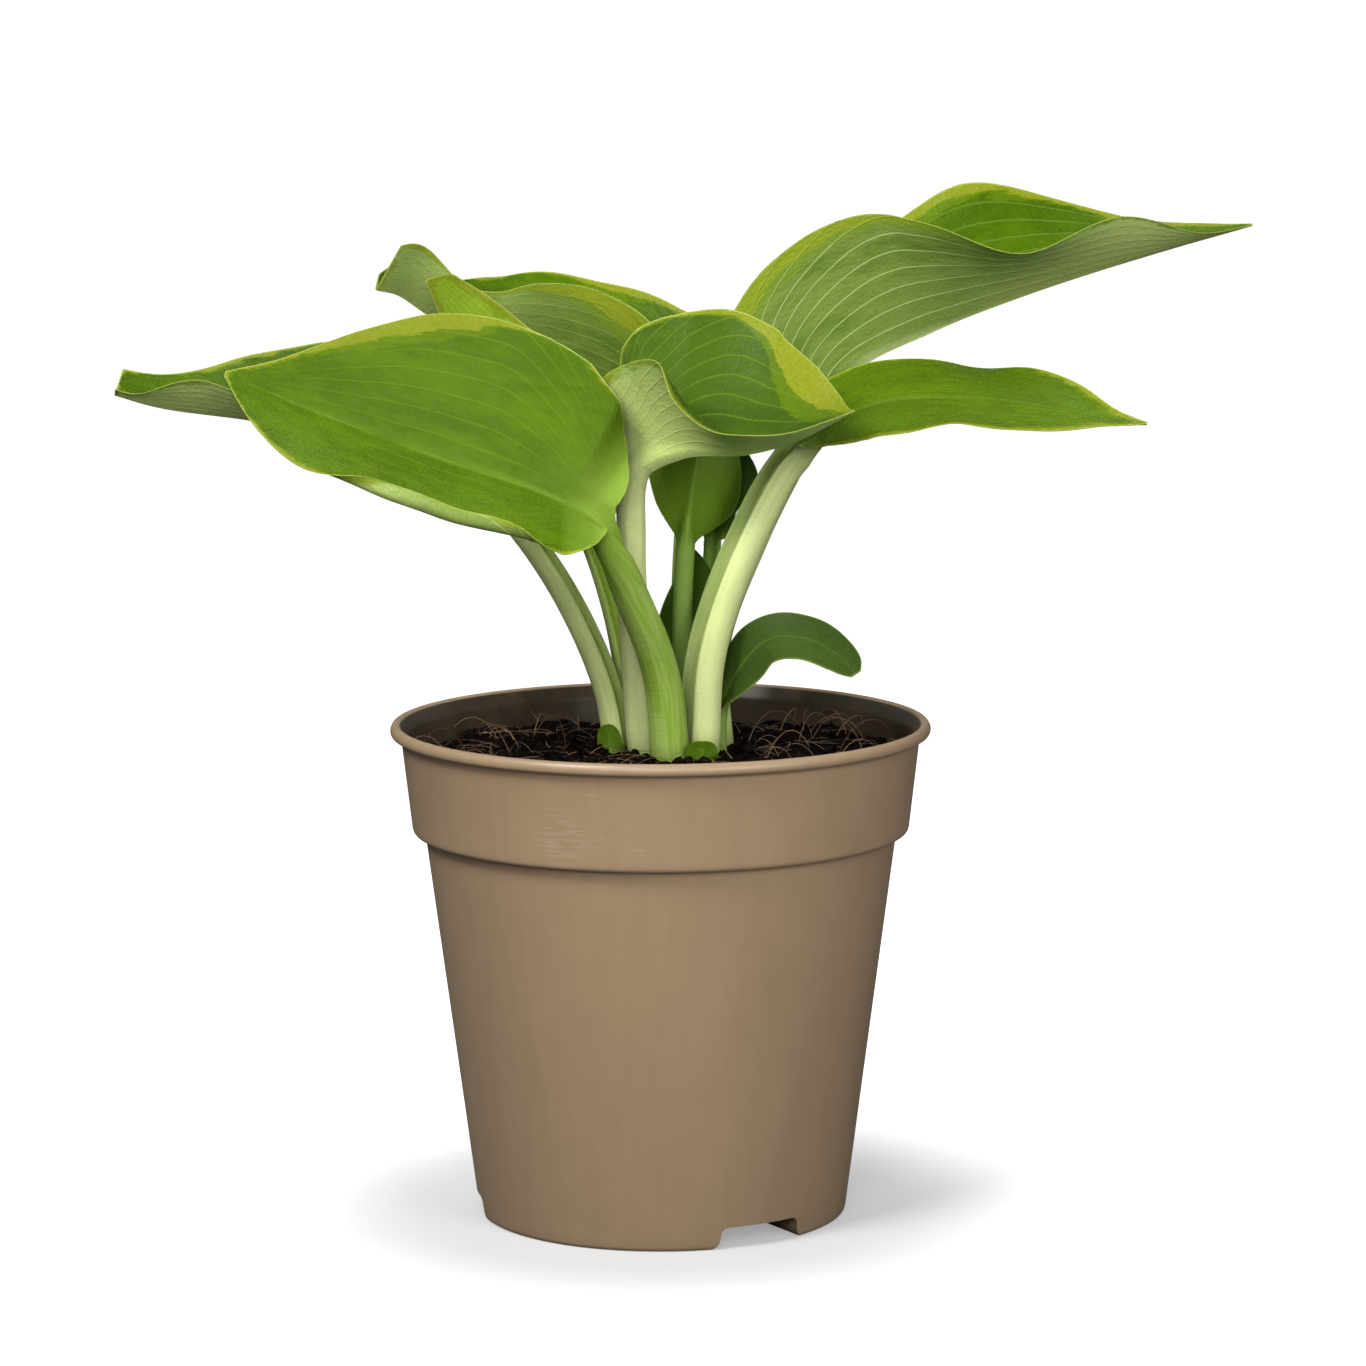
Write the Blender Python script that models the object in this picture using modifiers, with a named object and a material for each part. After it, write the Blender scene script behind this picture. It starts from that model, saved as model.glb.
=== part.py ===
"""Potted hosta: a young plant with yellow-margined leaves in a moulded nursery pot.

The pot's axis is the Z axis and its foot stands on z = 0.  Sizes are named in millimetres and
become metres when a mesh is made.
"""
import math

import bmesh
import bpy
import numpy as np
from mathutils import Matrix, Vector, noise

MM = 0.001
GAP = 0.3                     # what touching pieces keep between them

# ---------------------------------------------------------------- pot
POT_HEIGHT = 156.5
RIM_RADIUS = 85.0             # outside of the rolled rim
COLLAR_TOP_RADIUS = 81.5
COLLAR_FOOT_RADIUS = 78.4
COLLAR_FOOT_Z = 122.2
BODY_TOP_RADIUS = 74.2
FOOT_RADIUS = 58.1
WALL = 1.4
FLOOR = 1.6
POT_STEPS = 64
CHANNEL_ANGLES = (31.7, 151.7, 271.7)   # drainage channels, from the front toward the right
CHANNEL_HALF = 14.0
CHANNEL_HEIGHT = 7.0
CHANNEL_INNER = 28.0          # the channels run in to this radius
DRAIN_RADIUS = 4.0
DRAIN_PLACES = (36.0, 48.0)   # radii of the two holes in each channel's roof

# ---------------------------------------------------------------- soil and crown
SOIL_LEVEL = 143.5
SOIL_LUMP = 2.0
CROWN_TOP = 143.0
CROWN_CENTRE = (2.0, 13.0)
CROWN_RADII = (26.0, 30.0)
CROWN_DEPTH = 16.0

COLOURS = {                   # colour, roughness
    "pot": ((0.28, 0.20, 0.13, 1), 0.42),
    "soil": ((0.012, 0.009, 0.007, 1), 0.95),
    "crown": ((0.35, 0.42, 0.16, 1), 0.6),
    "leaf": ((0.10, 0.26, 0.02, 1), 0.45),
    "young": ((0.12, 0.28, 0.04, 1), 0.5),
    "scale": ((0.22, 0.34, 0.10, 1), 0.6),
}

# Half-outline of a hosta blade: share of the half-width at shares of the length
OUTLINE_AT = (0, .03, .08, .15, .23, .33, .45, .58, .70, .81, .90, .96, 1)
HEART = (.10, .42, .69, .87, .96, 1.0, .96, .84, .65, .42, .21, .09, .02)
SPOON = (.05, .12, .30, .60, .85, 1.0, .98, .88, .70, .48, .25, .12, .05)


def leaf(stalk, blade, stalk_face, blade_face, half_width, **more):
    """One leaf.  Points and sizes in mm, angles in degrees.  The stalk and the blade are points
    along the midrib, and a face is the direction that the upper side looks in.  Left and right
    are as seen on the upper side, looking to the tip."""
    facts = dict(stalk=stalk, blade=blade, stalk_face=stalk_face, blade_face=blade_face,
                 half_width=half_width, lobe=(0, 0), fold_left=(20, 20), fold_right=(20, 20),
                 roll_left=(0, 0), roll_right=(0, 0), left=HEART, right=HEART, base=4.0,
                 neck=3.0, stalk_thick=4.0, blade_thick=0.9, waves=(), rows=(6, 14),
                 half_columns=5, colour="leaf")
    facts.update(more)
    return facts


SMALL = dict(rows=(6, 9), half_columns=3)
LEAVES = {
    "leaf_front_left": leaf(
        [(4, -3, 143), (1, -7, 172), (-8, -17, 198), (-19, -26, 222)],
        [(-36, -29, 232), (-66, -34, 243), (-100, -42, 257), (-131, -50, 271)],
        [(.6, .6, .3), (.5, .3, .6)],
        [(-.2, -.8, .6), (.1, -.8, .6), (.2, -.75, .6), (.2, -.75, .6)],
        (30, 48), lobe=(8, 4), fold_left=(25, 20, 15, 10), fold_right=(14, 18, 20, 15),
        roll_left=(-20, 10, 25, 0), base=6.0, neck=5.0, stalk_thick=7.0,
        left=(.10, .42, .69, .87, .96, 1.0, 1.03, 1.07, 1.05, .88, .56, .26, .02),
        right=(.12, .44, .68, .86, .96, .99, .97, .84, .63, .40, .20, .09, .02)),
    "leaf_far_left": leaf(
        [(-12, 11, 143), (-16.5, 15, 166), (-29.5, 22, 194), (-46, 28, 217)],
        [(-62, 33, 232), (-100, 38, 243), (-131, 42, 248), (-160, 44, 252), (-174, 44, 256)],
        [(.8, -.4, .3), (.6, -.3, .7)],
        [(.1, -.1, 1), (.1, -.2, 1), (0, -.3, 1), (0, -.3, 1)],
        (26, 34), lobe=(4, 6), fold_left=(30, 30, 45, 60), fold_right=(60, 58, 45, 40),
        base=4.5, neck=4.0, stalk_thick=5.5,
        left=(.10, .42, .69, .87, .96, 1.0, .96, .84, .70, .60, .50, .35, .30),
        right=(.10, .42, .69, .87, .96, 1.0, .96, .84, .65, .46, .34, .30, .28)),
    "leaf_back_left": leaf(
        [(8, 34, 143), (7, 41, 177), (8, 51, 208), (11, 61, 236)],
        [(2, 68, 248), (-19, 74, 257), (-38, 76, 264), (-57, 74, 270), (-74, 68, 279),
         (-84, 64, 286), (-91, 60, 288)],
        [(-.1, -.9, .4), (-.1, -.8, .5)],
        [(-.3, -.2, 1), (0, 0, 1), (.2, 0, 1), (.5, -.2, .8)],
        (32, 34), lobe=(6, 6), fold_left=(55, 65, 60, 80), fold_right=(50, 60, 65, 65),
        base=3.6, neck=3.2, stalk_thick=4.0,
        left=(.10, .42, .69, .87, .96, 1.0, .96, .84, .62, .50, .56, .60, .50),
        right=(.10, .42, .69, .87, .96, 1.0, .96, .84, .62, .45, .45, .50, .40)),
    "leaf_mid_left": leaf(
        [(-6, 21, 143), (-10, 29, 163), (-15, 39, 187), (-24, 50, 212)],
        [(-39, 59, 238), (-53, 58, 260), (-64, 52, 278), (-74, 43, 292)],
        [(.5, -.7, .3), (.3, -.8, .4)],
        [(-.1, -.9, .4), (0, -.9, .4), (0, -.9, .4)],
        (18, 22), lobe=(5, 5), fold_left=(15, 15), fold_right=(5, 5), base=4.4, neck=4.0,
        stalk_thick=4.0, rows=(6, 11),
        right=(.10, .42, .69, .87, .96, 1.0, 1.05, 1.00, .90, .74, .58, .40, .02)),
    "leaf_centre": leaf(
        [(-5, 8, 143), (-8, 6, 182), (-9, 0, 214), (-7, -4, 236)],
        [(6, -12, 242), (26, -30, 244), (42, -45, 250), (58, -60, 260)],
        [(.2, .9, .1), (-.3, .6, .6)],
        [(-.2, .2, 1), (0, .1, 1), (0, 0, 1), (0, 0, 1)],
        (48, 40), lobe=(13, 12), fold_left=(75, 65, 45, 20), fold_right=(72, 48, 12, -5),
        base=4.8, neck=4.2, stalk_thick=5.5,
        left=(.10, .50, .82, .96, 1, .97, .90, .78, .62, .42, .21, .09, .02),
        right=(.10, .40, .64, .78, .86, .92, .90, .78, .62, .42, .21, .09, .02)),
    "leaf_top_right": leaf(
        [(18, 20, 143), (17, 26, 176), (30, 34, 210), (45, 42, 238)],
        [(59, 48, 261), (87, 57, 274), (123, 64, 287), (159, 68, 298), (192, 72, 307)],
        [(-.8, -.5, .3), (-.7, -.4, .6)],
        [(-.3, .2, 1), (-.2, .1, 1), (-.1, 0, 1), (0, 0, 1)],
        (42, 48), lobe=(6, 6), fold_left=(60, 50, 40, 30), fold_right=(75, 55, 30, 10),
        base=3.8, neck=4.0, stalk_thick=5.5,
        right=(.10, .43, .72, .93, 1.03, 1.03, .96, .84, .65, .42, .21, .09, .02),
        waves=((1, .51, .13, -12), (1, .75, .10, 6), (0, .54, .15, 12))),
    "leaf_right": leaf(
        [(11, 3, 143), (14, 6, 178), (27, 14, 213), (43, 19, 239)],
        [(66, 17, 254), (94, 12, 257), (125, 5, 254), (152, -1, 250)],
        [(-.8, -.4, .4), (-.7, -.4, .6)],
        [(0, -.3, 1), (0, -.35, 1), (0, -.4, 1), (0, -.4, 1)],
        (28, 30), lobe=(6, 0), fold_left=(5, 5), fold_right=(15, 0, 0, 0), base=5.5,
        neck=5.9, stalk_thick=7.5,
        left=(.10, .42, .69, .87, .96, 1.0, .96, .84, .65, .36, .15, .06, .02),
        waves=((0, .50, .12, -4), (0, .78, .12, 3), (1, .12, .10, -2.5), (1, .50, .15, 5))),
    "leaf_young_upright": leaf(
        [(7, 17, 143), (7, 19, 180), (8, 20, 208)],
        [(10, 24, 226), (13, 31, 244), (15, 38, 258)],
        [(0, 1, 0), (0, 1, 0)], [(0, 1, 0), (0, 1, 0), (0, .9, .3)],
        (18, 17), fold_left=(30, 30), fold_right=(30, 30), neck=2.6, base=3.0,
        left=SPOON, right=SPOON, colour="young", **SMALL),
    "leaf_young_back": leaf(
        [(15, 30, 143), (15, 36, 184), (17, 41, 208)],
        [(18, 45, 224), (20, 48, 236), (24, 50, 246)],
        [(-.2, -1, .2), (-.2, -1, .2)], [(-.3, -1, .2), (0, -1, .3), (0, -.9, .4)],
        (14, 13), fold_left=(15, 15), fold_right=(5, 5), neck=2.6, base=2.8,
        stalk_thick=3.0, left=SPOON, colour="young",
        right=(.15, .35, .55, .60, .55, .75, 1.0, 1.0, .85, .6, .35, .2, .05), **SMALL),
    "leaf_unfurling": leaf(
        [(6, 24, 143), (6, 28, 165)], [(6, 33, 180), (8, 36, 193), (11, 38, 206)],
        [(-.2, -1, .2), (-.2, -1, .2)], [(-.3, -1, .2), (0, -1, .3), (0, -.9, .4)],
        (8, 11), fold_left=(30, 30), fold_right=(20, 20), neck=3.0, base=3.0,
        stalk_thick=3.0, right=(.1, .2, .3, .38, .45, .55, .75, .95, 1, .9, .6, .3, .05),
        colour="young", **SMALL),
    "leaf_low_right": leaf(
        [(18, 12, 143), (19, 12, 158)],
        [(25, 8, 172), (34, 2, 182), (46, -4, 183), (56, -9, 178), (61, -12, 173)],
        [(-.8, -.4, .3), (-.8, -.5, .3)],
        [(-.7, -.6, .3), (-.2, -.8, .6), (.2, -.8, .6), (.4, -.8, .5)],
        (9, 9), fold_left=(0, 0), fold_right=(0, 0), neck=3.2, base=3.0, stalk_thick=3.0,
        left=(.3, .4, .55, .75, .9, 1, 1, .98, .92, .78, .55, .35, .1),
        right=(.3, .4, .55, .75, .9, 1, 1, .98, .92, .78, .55, .35, .1),
        colour="young", **SMALL),
    "basal_scale_middle": leaf(
        [(0, 14, 143), (-1, 14, 150)], [(-3, 13.5, 158), (-5, 13, 168), (-7, 13, 178)],
        [(-.4, .8, 0), (-.4, .8, 0)], [(-.4, .8, 0), (-.4, .8, 0)],
        (3, 3), fold_left=(15, 15), fold_right=(15, 15), neck=3.0, base=3.0,
        stalk_thick=1.2, colour="scale", rows=(2, 5), half_columns=2),
    "basal_scale_front": leaf(
        [(13, -12, 143), (13, -12, 146)], [(13, -12, 148), (13, -12, 150), (13, -12.5, 152)],
        [(0, 1, 0), (0, 1, 0)], [(0, 1, 0), (0, 1, 0)],
        (5, 5), fold_left=(15, 15), fold_right=(15, 15), neck=5.0, base=5.0,
        stalk_thick=1.2, colour="scale", rows=(2, 5), half_columns=3),
    "basal_scale_left": leaf(
        [(-15, 3, 143), (-15.5, 3, 146)], [(-16, 3, 149), (-16.5, 3, 152), (-17, 3, 155)],
        [(0, 1, 0), (0, 1, 0)], [(0, 1, 0), (0, 1, 0)],
        (4, 4), fold_left=(15, 15), fold_right=(15, 15), neck=4.0, base=4.0,
        stalk_thick=1.2, colour="scale", rows=(2, 5), half_columns=2),
}


# ---------------------------------------------------------------- helpers
def clear_scene():
    for thing in list(bpy.data.objects):
        bpy.data.objects.remove(thing, do_unlink=True)


def collection(name, hidden=False):
    made = bpy.data.collections.new(name)
    bpy.context.scene.collection.children.link(made)
    made.hide_render = hidden
    return made


def material(name, kind):
    made = bpy.data.materials.new(name)
    made.use_nodes = True
    shader = made.node_tree.nodes["Principled BSDF"]
    colour, roughness = COLOURS[kind]
    shader.inputs["Base Color"].default_value = colour
    shader.inputs["Roughness"].default_value = roughness
    shader.inputs["Metallic"].default_value = 0.0
    return made


def mesh_object(name, points, faces, where, kind=None):
    """A mesh object from points in mm."""
    mesh = bpy.data.meshes.new(name)
    mesh.from_pydata([tuple(float(c) * MM for c in p) for p in points], [], faces)
    mesh.update()
    made = bpy.data.objects.new(name, mesh)
    where.objects.link(made)
    if kind:
        mesh.materials.append(material(name, kind))
    else:
        made.display_type = "WIRE"
    return made


def tidy_mesh(thing):
    """Weld doubled points and turn every face outward."""
    work = bmesh.new()
    work.from_mesh(thing.data)
    bmesh.ops.remove_doubles(work, verts=work.verts, dist=0.00002)
    bmesh.ops.recalc_face_normals(work, faces=work.faces)
    work.to_mesh(thing.data)
    work.free()


def turned(name, profile, steps, where, kind=None):
    """A solid of revolution about Z from a closed (radius, height) profile in mm."""
    made = mesh_object(name, [(r, 0, z) for r, z in profile], [], where, kind)
    work = bmesh.new()
    work.from_mesh(made.data)
    work.verts.ensure_lookup_table()
    for i in range(len(profile) - 1):
        work.edges.new((work.verts[i], work.verts[i + 1]))
    work.to_mesh(made.data)
    work.free()
    screw = made.modifiers.new("turn", "SCREW")
    screw.axis = "Z"
    screw.steps = screw.render_steps = steps
    screw.use_merge_vertices = True
    screw.merge_threshold = 0.00002
    screw.use_normal_calculate = True
    bake(made)
    tidy_mesh(made)
    return made


def bake(thing):
    """Replace an object's mesh with what its modifiers make of it."""
    bpy.context.view_layer.update()
    seen = thing.evaluated_get(bpy.context.evaluated_depsgraph_get())
    mesh = bpy.data.meshes.new_from_object(seen)
    thing.modifiers.clear()
    thing.data = mesh


def boolean(thing, other, operation):
    cut = thing.modifiers.new(operation.lower(), "BOOLEAN")
    cut.operation = operation
    cut.solver = "EXACT"
    cut.object = other
    bake(thing)
    tidy_mesh(thing)


def prism(name, outline, start, end, angle, where):
    """A bar of constant section, given as (across, height), that runs outward from the pot's
    axis between two radii, at an angle from the front toward the right."""
    turn = math.radians(angle)
    out = np.array((math.sin(turn), -math.cos(turn), 0))
    across = np.array((math.cos(turn), math.sin(turn), 0))
    up = np.array((0, 0, 1))
    points = [out * r + across * a + up * h for r in (start, end) for a, h in outline]
    n = len(outline)
    faces = [(i, (i + 1) % n, n + (i + 1) % n, n + i) for i in range(n)]
    faces += [tuple(range(n)), tuple(range(2 * n - 1, n - 1, -1))]
    made = mesh_object(name, points, faces, where)
    tidy_mesh(made)
    return made


def join_meshes(name, things, where):
    """One cutter from several closed meshes that don't touch."""
    work = bmesh.new()
    for thing in things:
        work.from_mesh(thing.data)
        bpy.data.objects.remove(thing, do_unlink=True)
    mesh = bpy.data.meshes.new(name)
    work.to_mesh(mesh)
    work.free()
    made = bpy.data.objects.new(name, mesh)
    made.display_type = "WIRE"
    where.objects.link(made)
    return made


# ---------------------------------------------------------------- pot and soil
def channel_outline(grow):
    """Section of a drainage channel: flared at the foot, rounded under the roof."""
    half, top = CHANNEL_HALF + grow, CHANNEL_HEIGHT + grow
    flare, round_by = 2.2, 2.4
    right = [(half + flare, -1.0), (half + flare, 0.0), (half + flare * .3, flare * .7),
             (half, flare * 1.6), (half, top - round_by),
             (half - round_by * .3, top - round_by * .3), (half - round_by, top)]
    if grow:
        right = [(half, FLOOR * .5)] + right[4:]
    return right + [(-a, h) for a, h in reversed(right)]


def channel_bars(name, grow, inner, outer, where):
    bars = [prism("bar", channel_outline(grow), inner, outer, angle, where)
            for angle in CHANNEL_ANGLES]
    return join_meshes(name, bars, where)


def inner_radius(z):
    """Inside radius of the pot's wall at a height."""
    if z < COLLAR_FOOT_Z + 2.0:
        share = z / COLLAR_FOOT_Z
        return FOOT_RADIUS - WALL + (BODY_TOP_RADIUS - FOOT_RADIUS) * share
    share = (z - COLLAR_FOOT_Z) / (POT_HEIGHT - COLLAR_FOOT_Z)
    return COLLAR_FOOT_RADIUS - WALL + (COLLAR_TOP_RADIUS - COLLAR_FOOT_RADIUS) * share


def build_pot(where, cutters):
    top, foot = POT_HEIGHT, COLLAR_FOOT_Z
    outside = [(0, 0), (FOOT_RADIUS - 1.0, 0), (FOOT_RADIUS, 1.0),
               (BODY_TOP_RADIUS - .1, foot - .6), (BODY_TOP_RADIUS + .4, foot),
               (COLLAR_FOOT_RADIUS - 1.6, foot + .1), (COLLAR_FOOT_RADIUS - .4, foot + 1.0),
               (COLLAR_FOOT_RADIUS, foot + 3.0), (COLLAR_TOP_RADIUS, top - 5.0),
               (COLLAR_TOP_RADIUS + .5, top - 3.8), (RIM_RADIUS - .8, top - 3.4),
               (RIM_RADIUS, top - 2.4), (RIM_RADIUS - .1, top - 1.2), (RIM_RADIUS - 1.1, top - .2),
               (RIM_RADIUS - 1.9, top)]
    inside = [(RIM_RADIUS - 2.8, top), (inner_radius(top - 2.0), top - 2.0),
              (inner_radius(foot + 3.0), foot + 3.0), (BODY_TOP_RADIUS - WALL, foot + .6),
              (inner_radius(FLOOR), FLOOR), (0, FLOOR)]
    pot = turned("pot", outside + inside, POT_STEPS, where, "pot")
    housing = channel_bars("channel_housing", WALL, CHANNEL_INNER - WALL, 64, cutters)
    inside_wall = turned("housing_limit", [(0, 0), (FOOT_RADIUS - .7, 0),
                                           (FOOT_RADIUS + .7, 12), (0, 12)], POT_STEPS, cutters)
    boolean(housing, inside_wall, "INTERSECT")
    boolean(pot, housing, "UNION")
    bpy.data.objects.remove(inside_wall, do_unlink=True)
    boolean(pot, channel_bars("channel_cut", 0, CHANNEL_INNER, 64, cutters), "DIFFERENCE")
    holes = []
    for angle in CHANNEL_ANGLES:
        turn = math.radians(angle)
        for radius in DRAIN_PLACES:
            work = bmesh.new()
            bmesh.ops.create_cone(work, cap_ends=True, segments=16, radius1=DRAIN_RADIUS * MM,
                                  radius2=DRAIN_RADIUS * MM, depth=8 * MM)
            place = Vector((math.sin(turn) * radius, -math.cos(turn) * radius, 8)) * MM
            bmesh.ops.transform(work, matrix=Matrix.Translation(place), verts=work.verts)
            mesh = bpy.data.meshes.new("hole")
            work.to_mesh(mesh)
            work.free()
            hole = bpy.data.objects.new("hole", mesh)
            cutters.objects.link(hole)
            holes.append(hole)
    boolean(pot, join_meshes("drain_cut", holes, cutters), "DIFFERENCE")
    return pot


def soil_height(x, y):
    """Lumpy surface of the soil, level near the crown."""
    lump = noise.fractal(Vector((x, y, 3.0)) / 17.0, 1.0, 2.0, 3) * SOIL_LUMP
    from_crown = math.hypot((x - CROWN_CENTRE[0]) / CROWN_RADII[0],
                            (y - CROWN_CENTRE[1]) / CROWN_RADII[1])
    return SOIL_LEVEL + lump * min(1.0, max(0.0, (from_crown - 1.0) * 2.5))


def build_soil(where, cutters, crown_radii):
    """The root ball: the pot's inside shape, with a lumpy top and a hollow for the crown."""
    rings, steps = 8, POT_STEPS
    edge = inner_radius(SOIL_LEVEL) - GAP
    points, faces = [(0, 0, SOIL_LEVEL)], []
    for ring in range(1, rings + 1):
        for step in range(steps):
            a = 2 * math.pi * step / steps
            r = edge * ring / rings
            x, y = r * math.cos(a), r * math.sin(a)
            points.append((x, y, soil_height(x, y)))
    foot = COLLAR_FOOT_Z
    for r, z in ((inner_radius(foot + 3.0) - GAP, foot + 3.0),
                 (BODY_TOP_RADIUS - WALL - GAP, foot + .6 + GAP),
                 (inner_radius(FLOOR) - GAP, FLOOR + GAP)):
        points += [(r * math.cos(2 * math.pi * s / steps), r * math.sin(2 * math.pi * s / steps), z)
                   for s in range(steps)]
        rings += 1
    points.append((0, 0, FLOOR + GAP))
    at = lambda ring, step: 1 + (ring - 1) * steps + step % steps
    faces += [(0, at(1, s), at(1, s + 1)) for s in range(steps)]
    for ring in range(1, rings):
        faces += [(at(ring, s), at(ring + 1, s), at(ring + 1, s + 1), at(ring, s + 1))
                  for s in range(steps)]
    faces += [(len(points) - 1, at(rings, s + 1), at(rings, s)) for s in range(steps)]
    soil = mesh_object("soil", points, faces, where, "soil")
    tidy_mesh(soil)
    room = channel_bars("soil_channel_room", WALL + GAP, CHANNEL_INNER - WALL - GAP, 64, cutters)
    boolean(soil, room, "DIFFERENCE")
    hollow = crown_solid("crown_room", GAP, cutters, 4.0)
    boolean(soil, hollow, "DIFFERENCE")
    return soil


def crown_solid(name, grow, where, above):
    """The short root stock that every stalk grows from: a bowl shape with a flat top."""
    rx, ry = CROWN_RADII
    levels = [(1.0, 0.0), (.98, .18), (.86, .45), (.62, .75), (.30, .95)]
    if above:
        levels.insert(0, (1.0, -above / CROWN_DEPTH))
    steps = 28
    points = []
    for share, down in levels:
        z = CROWN_TOP - CROWN_DEPTH * down
        for s in range(steps):
            a = 2 * math.pi * s / steps
            wobble = 1 + .05 * math.sin(3 * a + 1) + .03 * math.sin(5 * a)
            points.append((CROWN_CENTRE[0] + (rx * wobble * share + grow) * math.cos(a),
                           CROWN_CENTRE[1] + (ry * wobble * share + grow) * math.sin(a),
                           z - (grow if down > 0 else 0)))
    points.append((*CROWN_CENTRE, CROWN_TOP + above))
    points.append((*CROWN_CENTRE, CROWN_TOP - CROWN_DEPTH - grow))
    at = lambda level, s: level * steps + s % steps
    top, low = len(points) - 2, len(points) - 1
    faces = [(top, at(0, s), at(0, s + 1)) for s in range(steps)]
    for level in range(len(levels) - 1):
        faces += [(at(level, s), at(level + 1, s), at(level + 1, s + 1), at(level, s + 1))
                  for s in range(steps)]
    faces += [(low, at(len(levels) - 1, s + 1), at(len(levels) - 1, s)) for s in range(steps)]
    made = mesh_object(name, points, faces, where, None if above else "crown")
    tidy_mesh(made)
    return made


# ---------------------------------------------------------------- leaves
def unit(a):
    return a / np.maximum(np.linalg.norm(a, axis=-1, keepdims=True), 1e-9)


def smooth_curve(points, per_span=24):
    """Catmull-Rom curve through points, and the place of each given point on it."""
    p = np.asarray(points, float)
    p = np.vstack([2 * p[0] - p[1], p, 2 * p[-1] - p[-2]])
    out, marks = [], [0]
    for p0, p1, p2, p3 in zip(p, p[1:], p[2:], p[3:]):
        t1 = np.linalg.norm(p1 - p0) ** .5
        t2 = t1 + np.linalg.norm(p2 - p1) ** .5
        t3 = t2 + np.linalg.norm(p3 - p2) ** .5
        t = np.linspace(t1, t2, per_span, endpoint=False)[:, None]
        a1 = (t1 - t) / t1 * p0 + t / t1 * p1
        a2 = (t2 - t) / (t2 - t1) * p1 + (t - t1) / (t2 - t1) * p2
        a3 = (t3 - t) / (t3 - t2) * p2 + (t - t2) / (t3 - t2) * p3
        b1 = (t2 - t) / t2 * a1 + t / t2 * a2
        b2 = (t3 - t) / (t3 - t1) * a2 + (t - t1) / (t3 - t1) * a3
        out.append((t2 - t) / (t2 - t1) * b1 + (t - t1) / (t2 - t1) * b2)
        marks.append(marks[-1] + per_span)
    out.append(p[-2:-1])
    return np.vstack(out), marks


def along(values, share):
    """A value given at even stations, read smoothly at a share of the length."""
    v = np.asarray(values, float)
    last = len(v) - 1
    t = min(max(share, 0), 1) * last
    i = min(int(t), last - 1)
    f = t - i
    p0, p1, p2, p3 = (v[min(max(k, 0), last)] for k in (i - 1, i, i + 1, i + 2))
    return .5 * (2 * p1 + (p2 - p0) * f + (2 * p0 - 5 * p1 + 4 * p2 - p3) * f * f
                 + (3 * p1 - p0 - 3 * p2 + p3) * f ** 3)


GUTTER_START, GUTTER_RISE = math.radians(25), math.radians(50)


def section(reach, angles):
    """Where a strip ends, across and up, that leaves the midrib and turns by these angles."""
    middle, step = (angles[1:] + angles[:-1]) / 2, np.diff(reach)
    return np.sum(np.cos(middle) * step), np.sum(np.sin(middle) * step)


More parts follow.
